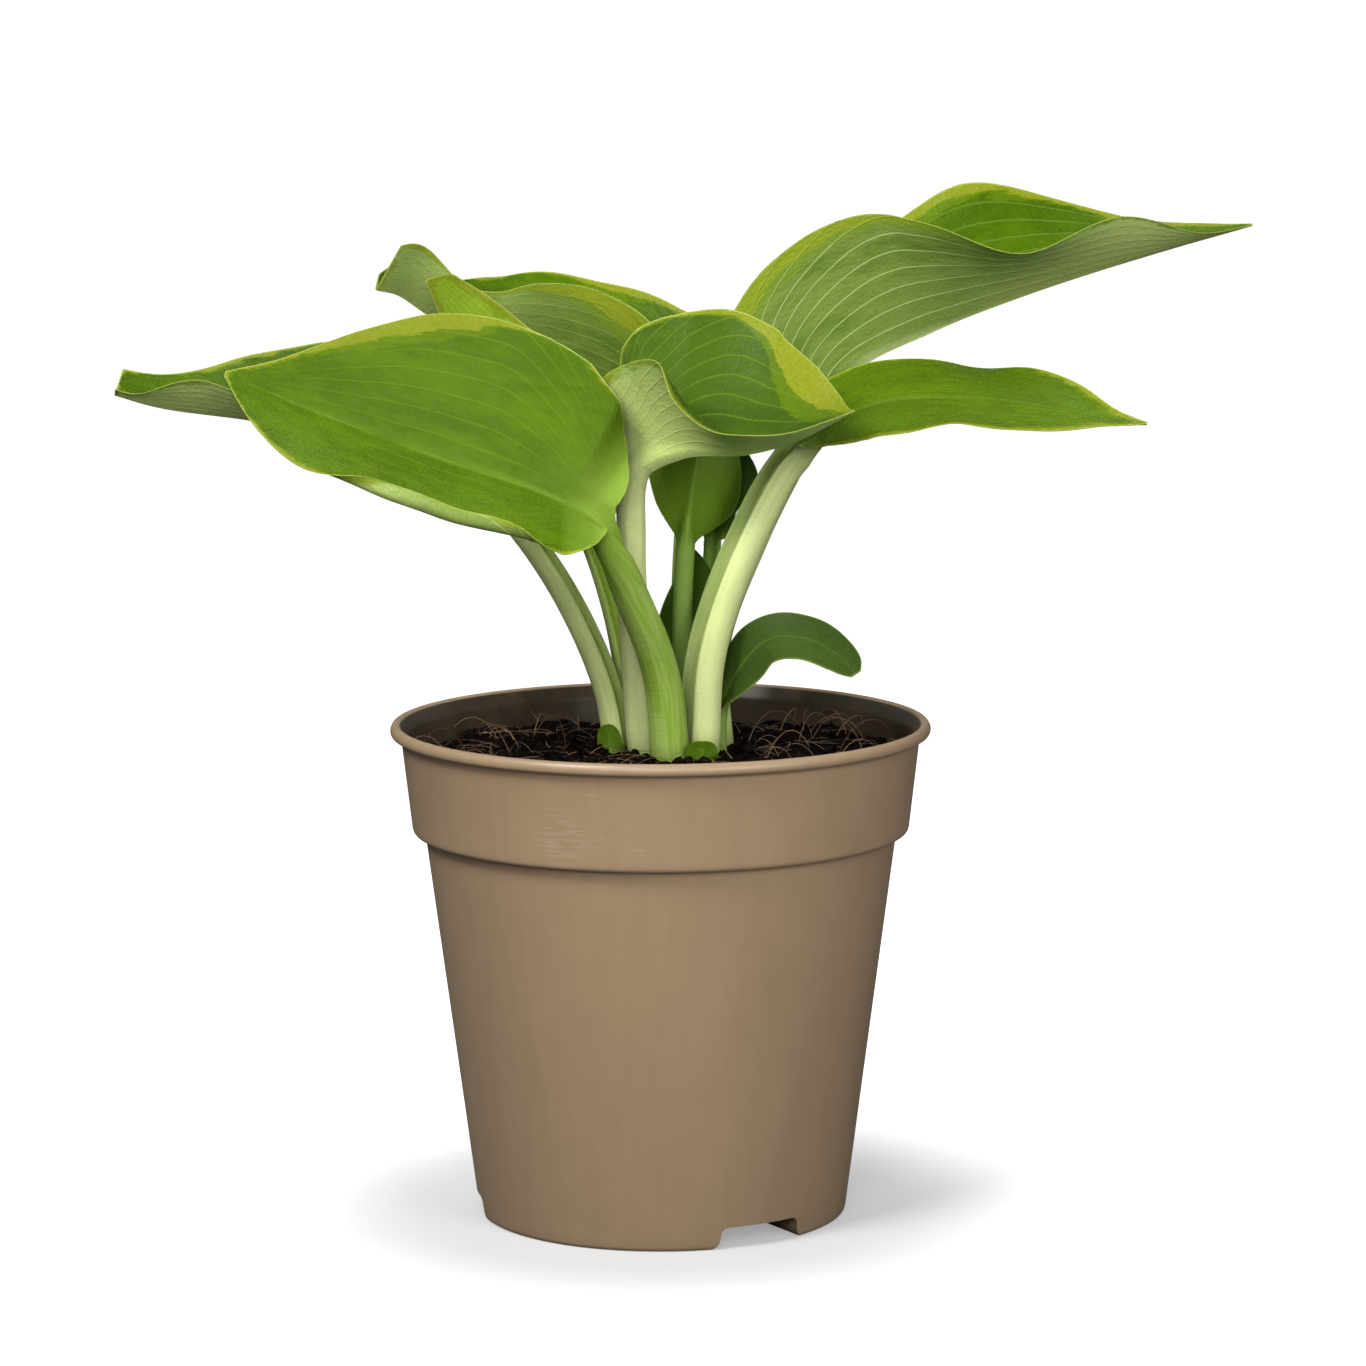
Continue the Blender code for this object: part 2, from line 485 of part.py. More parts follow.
def leaf_surface(facts):
    """The upper face of a leaf, stalk and blade, as rows of points, with a thickness for each."""
    curve, marks = smooth_curve(facts["stalk"] + facts["blade"])
    walked = np.r_[0, np.cumsum(np.linalg.norm(np.diff(curve, axis=0), axis=1))]
    joint = walked[marks[len(facts["stalk"]) - 1]]
    length = walked[-1] - joint
    heading = unit(np.gradient(curve, walked, axis=0))

    def place(s):
        return np.array([np.interp(s, walked, curve[:, k]) for k in range(3)])

    def direction(s):
        return unit(np.array([np.interp(s, walked, heading[:, k]) for k in range(3)]))

    base, neck = facts["base"], facts["neck"]
    sides = np.linspace(-1, 1, 2 * facts["half_columns"] + 1)
    rows, thick = [], []
    for share in np.linspace(0, 1, facts["rows"][0], endpoint=False):
        ahead = direction(share * joint)
        face = along(facts["stalk_face"], share)
        face = unit(face - (face @ ahead) * ahead)
        across = np.cross(ahead, face)
        half = neck + (base - neck) * max(0, 1 - share / .4) ** 2
        row = []
        for side in sides:
            reach = np.linspace(0, abs(side) * half, 9)
            x, z = section(reach, GUTTER_START + GUTTER_RISE * (reach / half) ** 1.5)
            row.append(place(share * joint) + across * np.sign(side) * x + face * z)
        rows.append(row)
        full = facts["stalk_thick"] * (1 - .2 * share)
        thick.append(facts["blade_thick"] + (full - facts["blade_thick"])
                     * (1 - np.abs(sides) ** 2.2))
    start = place(joint)
    leaving = unit(place(joint + .1 * length) - start)
    for u in np.linspace(0, 1, facts["rows"][1] + 1) ** 1.15:
        settle = min(1, u / .10)
        face0 = (along(facts["stalk_face"], 1) * (1 - settle)
                 + along(facts["blade_face"], u) * settle)
        back = (u / .06) * math.exp(1 - u / .06)
        gutter_left = max(0, 1 - u / .30) ** 2
        row, row_thick = [], []
        for side in sides:
            h = 0 if side < 0 else 1
            outline = np.interp(u, OUTLINE_AT, facts["right" if h else "left"])
            half = math.hypot(facts["half_width"][h] * outline, neck * max(0, 1 - u / .2))
            fold = math.radians(along(facts["fold_right" if h else "fold_left"], u))
            roll = math.radians(along(facts["roll_right" if h else "roll_left"], u))
            x0 = length * u - facts["lobe"][h] * back * abs(side) ** 1.7
            centre = place(joint + x0) if x0 >= 0 else start + leaving * x0
            f = min(1, u / .06)
            ahead = unit(direction(joint + max(x0, 0)) * (1 - f)
                         + direction(joint + max(x0, .08 * length)) * f)
            face = unit(face0 - (face0 @ ahead) * ahead)
            across = np.cross(ahead, face)
            reach = np.linspace(0, abs(side) * half, 12) + 1e-9
            angles = fold + roll * (reach / half) ** 1.5
            gutter = GUTTER_START + GUTTER_RISE * np.minimum(1, reach / neck) ** 1.5
            hold = gutter_left * np.exp(-(reach / (1.5 * neck)) ** 2)
            hold = hold + (1 - hold) * max(0, 1 - u / .03) * .9
            x, z = section(reach, angles * (1 - hold) + gutter * hold)
            for wave_side, wave_at, spread, lift in facts["waves"]:
                if wave_side == h:
                    z += lift * math.exp(-((u - wave_at) / spread) ** 2) * side * side
            row.append(centre + across * np.sign(side) * x + face * z)
            rib = (facts["stalk_thick"] * .8 - facts["blade_thick"]) * max(0, 1 - u / .45) ** 2
            rib_half = 1.0 + neck * .6 * max(0, 1 - u / .4)
            row_thick.append(facts["blade_thick"]
                             + max(0, rib) * math.exp(-(abs(side) * half / rib_half) ** 2))
        rows.append(row)
        thick.append(np.array(row_thick))
    return np.array(rows), np.array(thick)


def build_leaf(name, facts, where):
    """A closed solid: the upper face, the under face below it, and the edge between them."""
    upper, thick = leaf_surface(facts)
    normal = unit(np.cross(np.gradient(upper, axis=1), np.gradient(upper, axis=0)))
    under = upper - normal * thick[..., None]
    upper[0, :, 2] = under[0, :, 2] = CROWN_TOP + GAP
    n_rows, n_columns = upper.shape[:2]
    count = n_rows * n_columns
    points = np.vstack([upper.reshape(-1, 3), under.reshape(-1, 3)])
    at = lambda i, j, side=0: side * count + i * n_columns + j
    faces = []
    for i in range(n_rows - 1):
        for j in range(n_columns - 1):
            faces.append((at(i, j), at(i, j + 1), at(i + 1, j + 1), at(i + 1, j)))
            faces.append((at(i, j, 1), at(i + 1, j, 1), at(i + 1, j + 1, 1), at(i, j + 1, 1)))
        last = n_columns - 1
        faces.append((at(i, 0), at(i + 1, 0), at(i + 1, 0, 1), at(i, 0, 1)))
        faces.append((at(i, last), at(i, last, 1), at(i + 1, last, 1), at(i + 1, last)))
    for j in range(n_columns - 1):
        faces.append((at(0, j), at(0, j, 1), at(0, j + 1, 1), at(0, j + 1)))
        faces.append((at(n_rows - 1, j), at(n_rows - 1, j + 1), at(n_rows - 1, j + 1, 1),
                      at(n_rows - 1, j, 1)))
    made = mesh_object(name, points, faces, where, facts["colour"])
    work = bmesh.new()
    work.from_mesh(made.data)
    bmesh.ops.triangulate(work, faces=work.faces)
    bmesh.ops.recalc_face_normals(work, faces=work.faces)
    work.to_mesh(made.data)
    work.free()
    return made


# ---------------------------------------------------------------- the whole plant
clear_scene()
plant = collection("potted_hosta")
cutters = collection("cutters", hidden=True)
build_pot(plant, cutters)
build_soil(plant, cutters, CROWN_RADII)
crown_solid("crown", 0.0, plant, 0.0)
for leaf_name, leaf_facts in LEAVES.items():
    build_leaf(leaf_name, leaf_facts, plant)
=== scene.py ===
# %% [markdown]
# # A young hosta in its nursery pot
# This lesson dresses a plain solid model of a potted hosta.  The solids say where every stalk,
# leaf and wall is.  Here each one gets the form and the finish that the eye looks for: leaf
# veins, yellow margins, crumbly potting mix and satin moulded plastic.
# Everything is in metres, with +Z up and the pot standing on z = 0.

# %% Load the solid model
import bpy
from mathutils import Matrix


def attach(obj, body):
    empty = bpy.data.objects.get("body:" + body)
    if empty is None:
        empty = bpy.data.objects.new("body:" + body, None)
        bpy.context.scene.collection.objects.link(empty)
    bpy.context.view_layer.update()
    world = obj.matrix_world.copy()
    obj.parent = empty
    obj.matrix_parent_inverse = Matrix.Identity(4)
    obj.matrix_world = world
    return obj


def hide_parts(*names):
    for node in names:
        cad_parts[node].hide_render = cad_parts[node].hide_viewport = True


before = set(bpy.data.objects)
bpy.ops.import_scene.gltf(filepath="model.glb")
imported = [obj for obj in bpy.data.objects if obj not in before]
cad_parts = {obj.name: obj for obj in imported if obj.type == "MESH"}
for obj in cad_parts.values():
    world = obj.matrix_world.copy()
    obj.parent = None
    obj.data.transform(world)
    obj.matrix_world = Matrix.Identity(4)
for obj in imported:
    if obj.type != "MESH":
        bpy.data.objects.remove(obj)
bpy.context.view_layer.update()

# %% [markdown]
# The working tools.  A mesh is easiest to think about in millimetres, so the helpers take
# millimetres and one constant turns them into metres at the last moment.

# %% Tools and units
import math
import random

import bmesh
import bpy
import numpy as np
from mathutils import Matrix, Vector, noise

MM = 0.001
scene = bpy.context.scene
scene.view_settings.view_transform = "Standard"


def make_piece(name, points, faces, material=None, smooth_angle=None):
    """A mesh object from points in millimetres, smooth except at edges over smooth_angle."""
    mesh = bpy.data.meshes.new(name)
    mesh.from_pydata((np.asarray(points, float) * MM).tolist(), [], faces)
    mesh.update()
    if smooth_angle:
        mesh.shade_smooth()
        mesh.set_sharp_from_angle(angle=math.radians(smooth_angle))
    piece = bpy.data.objects.new(name, mesh)
    scene.collection.objects.link(piece)
    if material:
        mesh.materials.append(material)
    return piece


def mark(piece, name, values):
    """Keep a number or a vector with every point, for the material to read."""
    values = np.asarray(values, np.float32)
    kind, field = ("FLOAT_VECTOR", "vector") if values.ndim == 2 else ("FLOAT", "value")
    layer = piece.data.attributes.new(name, kind, "POINT")
    layer.data.foreach_set(field, values.ravel())


print("tools ready, and a millimetre is", MM, "m")

# %% [markdown]
# Materials are networks of nodes, and writing them out one link at a time hides the idea.
# Short helpers make them readable.  The first two add any node and feed its inputs.

# %% Adding nodes
def feed(tree, node, inputs):
    """Link each input to a socket, or set it to a value."""
    for key, value in inputs.items():
        if isinstance(value, bpy.types.NodeSocket):
            tree.links.new(value, node.inputs[key])
        else:
            node.inputs[key].default_value = value


def add(tree, kind, inputs=None, **settings):
    """Any node, with its settings made and its inputs fed."""
    made = tree.nodes.new(kind)
    for key, value in settings.items():
        setattr(made, key, value)
    feed(tree, made, inputs or {})
    return made


print("nodes can be added, in Blender", bpy.app.version_string)

# %% [markdown]
# The next ones stand for one node each: calc does arithmetic, blend mixes two colours, spread
# stretches one range of values to another, read fetches what mark kept, and apart takes a vector
# to pieces.

# %% Arithmetic, colours and ranges
def calc(tree, operation, *values):
    """One step of arithmetic."""
    return add(tree, "ShaderNodeMath", dict(enumerate(values)), operation=operation).outputs[0]


def blend(tree, factor, a, b):
    """Colour a where the factor is 0 or less, colour b where it is 1 or more."""
    return add(tree, "ShaderNodeMix", {0: factor, 6: a, 7: b}, data_type="RGBA").outputs[2]


def spread(tree, value, low, high, to_low=0.0, to_high=1.0):
    """The range from low to high, stretched to another range, with eased ends."""
    made = add(tree, "ShaderNodeMapRange", {0: value, 1: low, 2: high, 3: to_low, 4: to_high},
               interpolation_type="SMOOTHSTEP")
    return made.outputs[0]


def read(tree, name, output="Vector"):
    """What mark kept with the points."""
    return add(tree, "ShaderNodeAttribute", attribute_name=name).outputs[output]


def apart(tree, vector):
    """The three numbers of a vector."""
    return add(tree, "ShaderNodeSeparateXYZ", {0: vector}).outputs


print("value helpers:", [helper.__name__ for helper in (calc, blend, spread, read, apart)])

# %% [markdown]
# A few steps come up in nearly every finish.  Noise is read at the point's own place, often
# stretched first, because grown and moulded surfaces have a direction.  A height becomes relief
# through a bump.

# %% Places, noise and relief
def own_place(tree):
    """Where a point is in its own piece, in metres."""
    return add(tree, "ShaderNodeTexCoord").outputs["Object"]


def stretched(tree, place, by):
    """The same place with its axes scaled, which draws noise out along the smallest."""
    return add(tree, "ShaderNodeVectorMath", {0: place, 1: by}, operation="MULTIPLY").outputs[0]


def cloudy(tree, place, scale, detail):
    """A noise texture as one value from 0 to 1."""
    return add(tree, "ShaderNodeTexNoise",
               {"Vector": place, "Scale": scale, "Detail": detail}).outputs["Fac"]


def relieve(tree, shader, height, strength, distance):
    """Turn a height into relief on the shader's normal."""
    bump = add(tree, "ShaderNodeBump",
               {"Height": height, "Strength": strength, "Distance": distance})
    tree.links.new(bump.outputs["Normal"], shader.inputs["Normal"])


print("finish helpers:", [helper.__name__ for helper in (own_place, stretched, cloudy, relieve)])

# %% [markdown]
# A material starts as an empty network with one shader.  A group is an effect that several
# materials share.  It has named sockets, and it gives masks and heights, never a whole surface.

# %% Materials and groups
def new_material(name):
    """A material with its network and its shader."""
    made = bpy.data.materials.new(name)
    made.use_nodes = True
    return made, made.node_tree, made.node_tree.nodes["Principled BSDF"]


def new_group(name, sockets):
    """A shader node group.  Each socket is (name, "in" or "out", kind)."""
    tree = bpy.data.node_groups.new(name, "ShaderNodeTree")
    for label, way, kind in sockets:
        tree.interface.new_socket(label, in_out="INPUT" if way == "in" else "OUTPUT",
                                  socket_type="NodeSocket" + kind)
    return tree, tree.nodes.new("NodeGroupInput").outputs, tree.nodes.new("NodeGroupOutput").inputs


def use(tree, group, **inputs):
    """A group placed in a network."""
    made = tree.nodes.new("ShaderNodeGroup")
    made.node_tree = group
    feed(tree, made, inputs)
    return made.outputs


def dress(piece, material):
    """Give a piece this one material."""
    piece.data.materials.clear()
    piece.data.materials.append(material)


print("material helpers:", [helper.__name__ for helper in (new_material, new_group, use, dress)])

# %% [markdown]
# ## Four effects that several finishes share
# **Mottle** is soft blotches at two sizes: no living leaf, soil or worn plastic has one flat
# colour.  It could be painted, but noise in a group gives every material its own blotches.

# %% The mottle group
mottle, inp, out = new_group("mottle", [
    ("Place", "in", "Vector"), ("Scale", "in", "Float"), ("Contrast", "in", "Float"),
    ("Value", "out", "Float")])
broad = cloudy(mottle, inp["Place"], inp["Scale"], 2.0)
small = cloudy(mottle, inp["Place"], calc(mottle, "MULTIPLY", inp["Scale"], 5.0), 3.0)
both = calc(mottle, "ADD", calc(mottle, "MULTIPLY", broad, 0.6),
            calc(mottle, "MULTIPLY", small, 0.4))
centred = calc(mottle, "MULTIPLY", calc(mottle, "SUBTRACT", both, 0.5), inp["Contrast"])
mottle.links.new(calc(mottle, "ADD", centred, 0.5), out["Value"])
print("group mottle:", len(mottle.nodes), "nodes")

# %% [markdown]
# **Leaf veins** of a hosta fan out from the stalk, bow outward with the margin and meet again at
# the tip.  If every point of a blade knows its share of the way from midrib to margin, each vein
# is simply a line of constant share, and making the shares larger near the stalk gives the fan.
# A little noise keeps the lines from looking ruled.

# %% The leaf vein group
VEINS_A_SIDE = 7
veins, inp, out = new_group("leaf veins", [
    ("Across", "in", "Float"), ("Place", "in", "Vector"), ("Width", "in", "Float"),
    ("Line", "out", "Float")])
drift = cloudy(veins, inp["Place"], 0.03, 1.0)
wander = calc(veins, "MULTIPLY", calc(veins, "SUBTRACT", drift, 0.5), 0.35)
count = calc(veins, "ADD", calc(veins, "MULTIPLY", calc(veins, "ABSOLUTE", inp["Across"]),
                                float(VEINS_A_SIDE)), wander)
off = calc(veins, "ABSOLUTE", calc(veins, "SUBTRACT", count, calc(veins, "ROUND", count)))
veins.links.new(spread(veins, off, 0.0, inp["Width"], 1.0, 0.0), out["Line"])
print("group leaf veins:", VEINS_A_SIDE, "veins a side")

# %% [markdown]
# **Streaked margin** is the variegation.  The yellow band isn't a clean stripe: it frays inward
# in streaks that run with the veins.  Each point holds how far the band reaches past it, in
# millimetres.  Noise that is stretched along the leaf is added to that reach, and the sum is
# cut off sharply.

# %% The streaked margin group
streaked, inp, out = new_group("streaked margin", [
    ("Reach", "in", "Float"), ("Place", "in", "Vector"), ("Fray", "in", "Float"),
    ("Mask", "out", "Float")])
long_way = stretched(streaked, inp["Place"], (1.0, 0.16, 1.0))
coarse = cloudy(streaked, long_way, 0.28, 2.0)
fine = cloudy(streaked, long_way, 1.1, 2.0)
fray = calc(streaked, "ADD", calc(streaked, "SUBTRACT", coarse, 0.5),
            calc(streaked, "MULTIPLY", calc(streaked, "SUBTRACT", fine, 0.5), 0.4))
reach = calc(streaked, "ADD", inp["Reach"],
             calc(streaked, "MULTIPLY", fray, calc(streaked, "MULTIPLY", inp["Fray"], 4.0)))
streaked.links.new(spread(streaked, reach, -0.35, 0.35), out["Mask"])
print("group streaked margin:", len(streaked.nodes), "nodes")

# %% [markdown]
# **Grain** is the fine tooth of a surface: the skin of a leaf, the spark-eroded texture of a
# plastic mould, the dust in soil.  It gives one height that a Bump node can feed to the normal.

# %% The grain group
grain, inp, out = new_group("grain", [
    ("Place", "in", "Vector"), ("Scale", "in", "Float"), ("Height", "out", "Float")])
cells = add(grain, "ShaderNodeTexVoronoi", {"Vector": inp["Place"], "Scale": inp["Scale"]},
            feature="SMOOTH_F1")
tooth = cloudy(grain, inp["Place"], calc(grain, "MULTIPLY", inp["Scale"], 1.7), 3.0)
grain.links.new(calc(grain, "ADD", calc(grain, "MULTIPLY", cells.outputs["Distance"], 0.5),
                     calc(grain, "MULTIPLY", tooth, 0.5)), out["Height"])
print("group grain:", len(grain.nodes), "nodes")

# %% [markdown]
# ## The leaf finish
# One material serves every leaf, because on the plant they are one tissue at several ages.
# First its colours.  The upper side is a satin yellow-green, fresher on a young leaf in the sun
# and bluer on one in the shade.  The under side has a waxy bloom, so it is paler and greyer, most
# of all towards the tip, where the paleness is also painted light on under sides in shade.  Stalks
# are pale, almost white low down, with green threads.

# %% Leaf colours
GREEN_LIGHT, GREEN_DEEP = (0.062, 0.124, 0.001, 1), (0.035, 0.078, 0.001, 1)
FRESH, BLUE_GREEN = (0.210, 0.310, 0.020, 1), (0.028, 0.050, 0.014, 1)
YELLOW, YELLOW_PALE = (0.165, 0.192, 0.004, 1), (0.210, 0.234, 0.022, 1)
HALF_GREEN, VEIN_GREEN = (0.105, 0.170, 0.004, 1), (0.120, 0.205, 0.018, 1)
BLOOM_LIGHT, BLOOM_DEEP = (0.190, 0.260, 0.056, 1), (0.110, 0.175, 0.026, 1)
BLOOM_YELLOW, BLOOM_HALF = (0.235, 0.290, 0.020, 1), (0.170, 0.265, 0.020, 1)
BLOOM_VEIN, BLOOM_TIP_AND_LIGHT = (0.460, 0.560, 0.230, 1), (0.470, 0.570, 0.180, 1)
STALK_PALE, STALK_GREEN = (0.510, 0.570, 0.250, 1), (0.190, 0.300, 0.035, 1)
STALK_YOUNG, STALK_FOOT = (0.110, 0.200, 0.030, 1), (0.110, 0.150, 0.025, 1)
RIM_LINE = (0.300, 0.370, 0.080, 1)
print("upper green from", GREEN_DEEP[:3], "to", GREEN_LIGHT[:3])

# %% [markdown]
# The leaf could be mapped flat and painted, but a grown surface already knows more than a map
# would say, so each point carries four records.  leaf_place is its millimetres across and along.
# leaf_facts is its share across, its share along (below 0 on the stalk) and whether it is on the
# under side.  leaf_margin is how far the margin is, how far the yellow band reaches past the
# point, and how strong the pale line round the margin is.  leaf_tone is the leaf's age, how pale
# its stalk is and how waxy its under side is.  From them come the masks that the colours need.

# %% The leaf material
leaf_material, tree, shader = new_material("hosta leaf")
place = read(tree, "leaf_place")
across, along, under = apart(tree, read(tree, "leaf_facts"))
from_edge, band, rim = apart(tree, read(tree, "leaf_margin"))
age, pale, bloom = apart(tree, read(tree, "leaf_tone"))
grown_along = stretched(tree, place, (1.0, 0.35, 1.0))
blotch = use(tree, mottle, Place=grown_along, Scale=0.06, Contrast=2.6)["Value"]
speck = use(tree, mottle, Place=place, Scale=0.55, Contrast=2.4)["Value"]
lines = use(tree, veins, Across=across, Place=place, Width=0.075)
line = calc(tree, "MULTIPLY", lines["Line"], calc(tree, "MINIMUM", bloom, 1.0))
on_blade = spread(tree, along, -0.02, 0.12)
gold = use(tree, streaked, Reach=band, Place=place, Fray=1.3)["Mask"]
half_band = calc(tree, "ADD", calc(tree, "MULTIPLY", band, 1.6),
                 calc(tree, "MULTIPLY", from_edge, 0.6))
half_gold = use(tree, streaked, Reach=half_band, Place=place, Fray=1.8)["Mask"]
heart = calc(tree, "MULTIPLY", spread(tree, along, 0.0, 0.22, 0.6, 0.0),
             spread(tree, calc(tree, "ABSOLUTE", across), 0.0, 0.9, 1.0, 0.0))
print("leaf masks:", len(tree.nodes), "nodes")

# %% [markdown]
# The upper side is blotched deep and light green.  Age, from -1 to 1, pulls it towards fresh
# yellow-green or towards blue-green.  Veins and the heart of the leaf, where they gather, are
# lighter.  Then comes the variegation: a half-yellow zone, and the yellow band outside it.

# %% The upper side, from deep green to yellow
upper = blend(tree, spread(tree, blotch, 0.2, 0.8), GREEN_DEEP, GREEN_LIGHT)
upper = blend(tree, calc(tree, "MULTIPLY", speck, 0.45), upper, GREEN_LIGHT)
upper = blend(tree, age, upper, BLUE_GREEN)
upper = blend(tree, calc(tree, "MULTIPLY", age, -1.0), upper, FRESH)
upper = blend(tree, calc(tree, "MULTIPLY", line, 0.55), upper, VEIN_GREEN)
upper = blend(tree, heart, upper, VEIN_GREEN)
upper = blend(tree, calc(tree, "MULTIPLY", half_gold, 0.50), upper, HALF_GREEN)
upper = blend(tree, calc(tree, "MULTIPLY", gold, 0.85), upper,
              blend(tree, speck, YELLOW, YELLOW_PALE))
print("with the upper side:", len(tree.nodes), "nodes")

# %% [markdown]
# The under side has the same zones in waxy colours.  Its veins stand out and look paler than the
# rest.  A bloom below 1 lets the upper side's green through, as on young leaves, and one above 1
# makes the whole under side as pale as its tip.  Towards the tip and above a bloom of 1, the
# paleness is partly the wax and partly painted light, where the under side faces down into shade.

# %% The under side, with its waxy bloom and pale veins
lower = blend(tree, spread(tree, blotch, 0.15, 0.75), BLOOM_DEEP, BLOOM_LIGHT)
# Paler towards the tip and above a bloom of 1: partly waxy bloom, partly painted light on shaded
# under sides.
lower = blend(tree, spread(tree, along, 0.35, 0.80, 0.0, 1.0), lower, BLOOM_TIP_AND_LIGHT)
lower = blend(tree, calc(tree, "SUBTRACT", bloom, 1.0), lower, BLOOM_TIP_AND_LIGHT)
lower = blend(tree, calc(tree, "MULTIPLY", line, 0.75), lower, BLOOM_VEIN)
lower = blend(tree, calc(tree, "MULTIPLY", half_gold, 0.55), lower, BLOOM_HALF)
lower = blend(tree, calc(tree, "MULTIPLY", gold, 0.85), lower, BLOOM_YELLOW)
lower = blend(tree, bloom, upper, lower)
blade = blend(tree, under, upper, lower)
print("with the under side:", len(tree.nodes), "nodes")

# %% [markdown]
# A stalk is greenest inside its gutter and near the blade, and a pale one shows green threads
# along it.  The midrib carries its paleness on into the blade.  Last, the margin has a thin pale
# line, because there the leaf is only a clear skin.

# %% The stalk, the midrib and the thin line round the margin
threads = cloudy(tree, stretched(tree, place, (1.0, 0.03, 1.0)), 1.6, 3.0)
hollow = calc(tree, "SUBTRACT", 1.0, under)
green_share = calc(tree, "ADD", spread(tree, threads, 0.40, 0.65, -0.10, 0.12),
                   calc(tree, "MULTIPLY", hollow, 0.55))
green_share = calc(tree, "ADD", green_share, spread(tree, along, -0.3, 0.02, 0.0, 0.20))
green_share = calc(tree, "ADD", green_share, calc(tree, "SUBTRACT", 1.0, pale))
stalk = blend(tree, green_share, STALK_PALE, STALK_GREEN)
stalk = blend(tree, calc(tree, "MULTIPLY", calc(tree, "SUBTRACT", 1.0, bloom), 0.8), stalk,
              STALK_YOUNG)
stalk = blend(tree, spread(tree, along, -1.0, -0.88, 0.8, 0.0), stalk, STALK_FOOT)
skin = blend(tree, on_blade, stalk, blade)
rib = calc(tree, "MULTIPLY", spread(tree, calc(tree, "ABSOLUTE", across), 0.012, 0.06, 1.0, 0.0),
           spread(tree, along, 0.0, 0.6, 0.75, 0.20))
skin = blend(tree, calc(tree, "MULTIPLY", rib, on_blade), skin,
             blend(tree, calc(tree, "MULTIPLY", under, bloom), VEIN_GREEN, BLOOM_VEIN))
rim_line = calc(tree, "MULTIPLY", spread(tree, from_edge, 0.2, 0.55, 1.0, 0.0), rim)
skin = blend(tree, calc(tree, "MULTIPLY", rim_line, on_blade), skin, RIM_LINE)
tree.links.new(skin, shader.inputs["Base Color"])
print("with the stalk and margin:", len(tree.nodes), "nodes")

# %% [markdown]
# The sheen is satin above and duller below, where the wax scatters light.  A little light
# passes just under the skin, which subsurface scattering gives.  The bump is the skin's fine
# cells, with a sunk line at each vein.

# %% The leaf's sheen and relief
dull = calc(tree, "ADD", calc(tree, "MULTIPLY", under, 0.16),
            calc(tree, "MULTIPLY", speck, 0.14))
tree.links.new(calc(tree, "ADD", dull, 0.20), shader.inputs["Roughness"])
skin_height = calc(tree, "ADD", use(tree, grain, Place=place, Scale=0.9)["Height"],
                   calc(tree, "MULTIPLY", line, -0.5))
relieve(tree, shader, skin_height, 0.45, 0.0007)
shader.inputs["Subsurface Weight"].default_value = 0.15
shader.inputs["Subsurface Radius"].default_value = (0.5, 1.0, 0.1)
shader.inputs["Subsurface Scale"].default_value = 0.002
shader.inputs["Specular IOR Level"].default_value = 0.05
print("leaf material:", len(tree.nodes), "nodes")

# %% [markdown]
# ## The shape of a leaf
# A leaf could be cut from a flat sheet and bent, but a hosta's blade is never flat: it is folded
# along the midrib, rolled at the margins and set on a gutter-shaped stalk.  So it is grown as
# rows.  The midrib is a smooth curve through a few points.  At each step along it, the leaf
# reaches out left and right by a half-width, and turns up by a fold angle.  A direction called
# the face says where the upper side looks.  All lengths are in millimetres, angles in degrees.

# %% Half-outlines and the facts of one leaf
OUTLINE_AT = (0, .03, .08, .15, .23, .33, .45, .58, .70, .81, .90, .96, 1)
HEART = (.10, .42, .69, .87, .96, 1.0, .96, .84, .65, .42, .21, .09, .02)
SPOON = (.05, .12, .30, .60, .85, 1.0, .98, .88, .70, .48, .25, .12, .05)
BLUNT = (.80, .90, .95, 1.0, 1.0, 1.0, .98, .94, .86, .74, .58, .42, .20)


def leaf(stalk, blade, stalk_face, blade_face, half_width, **more):
    """The facts of one leaf: what is given here, and what most leaves have in common."""
    facts = dict(stalk=stalk, blade=blade, stalk_face=stalk_face, blade_face=blade_face,
                 half_width=half_width, lobe=(0, 0), fold_left=(20, 20), fold_right=(20, 20),
                 roll_left=(0, 0), roll_right=(0, 0), left=HEART, right=HEART, base=4.0,
                 neck=3.0, stalk_thick=4.0, blade_thick=0.55, waves=(), lips=(), rows=(26, 96),
                 half_columns=32, ruffle=0.5, gold_left=(1, 1), gold_right=(1, 1), age=0.1,
                 pale=0.6, bloom=1.0, rim=0.7, slot="leaf")
    facts.update(more)
    return facts


SMALL = dict(rows=(22, 60), half_columns=16, slot="young_leaf", gold_left=(-1, -1),
             gold_right=(-1, -1), ruffle=0.25, pale=0.3, bloom=0.12, rim=0.35)
print("an outline has", len(OUTLINE_AT), "stations from base to tip")

# %% [markdown]
# Seven grown leaves, first the four on the left.  Each has its stalk, its blade, the way the two
# faces look, and how wide the yellow band is at even steps from the base to the tip on either
# side.  Waves are (side, share along, length of the wave, lift), and a lip adds a depth and a turn.

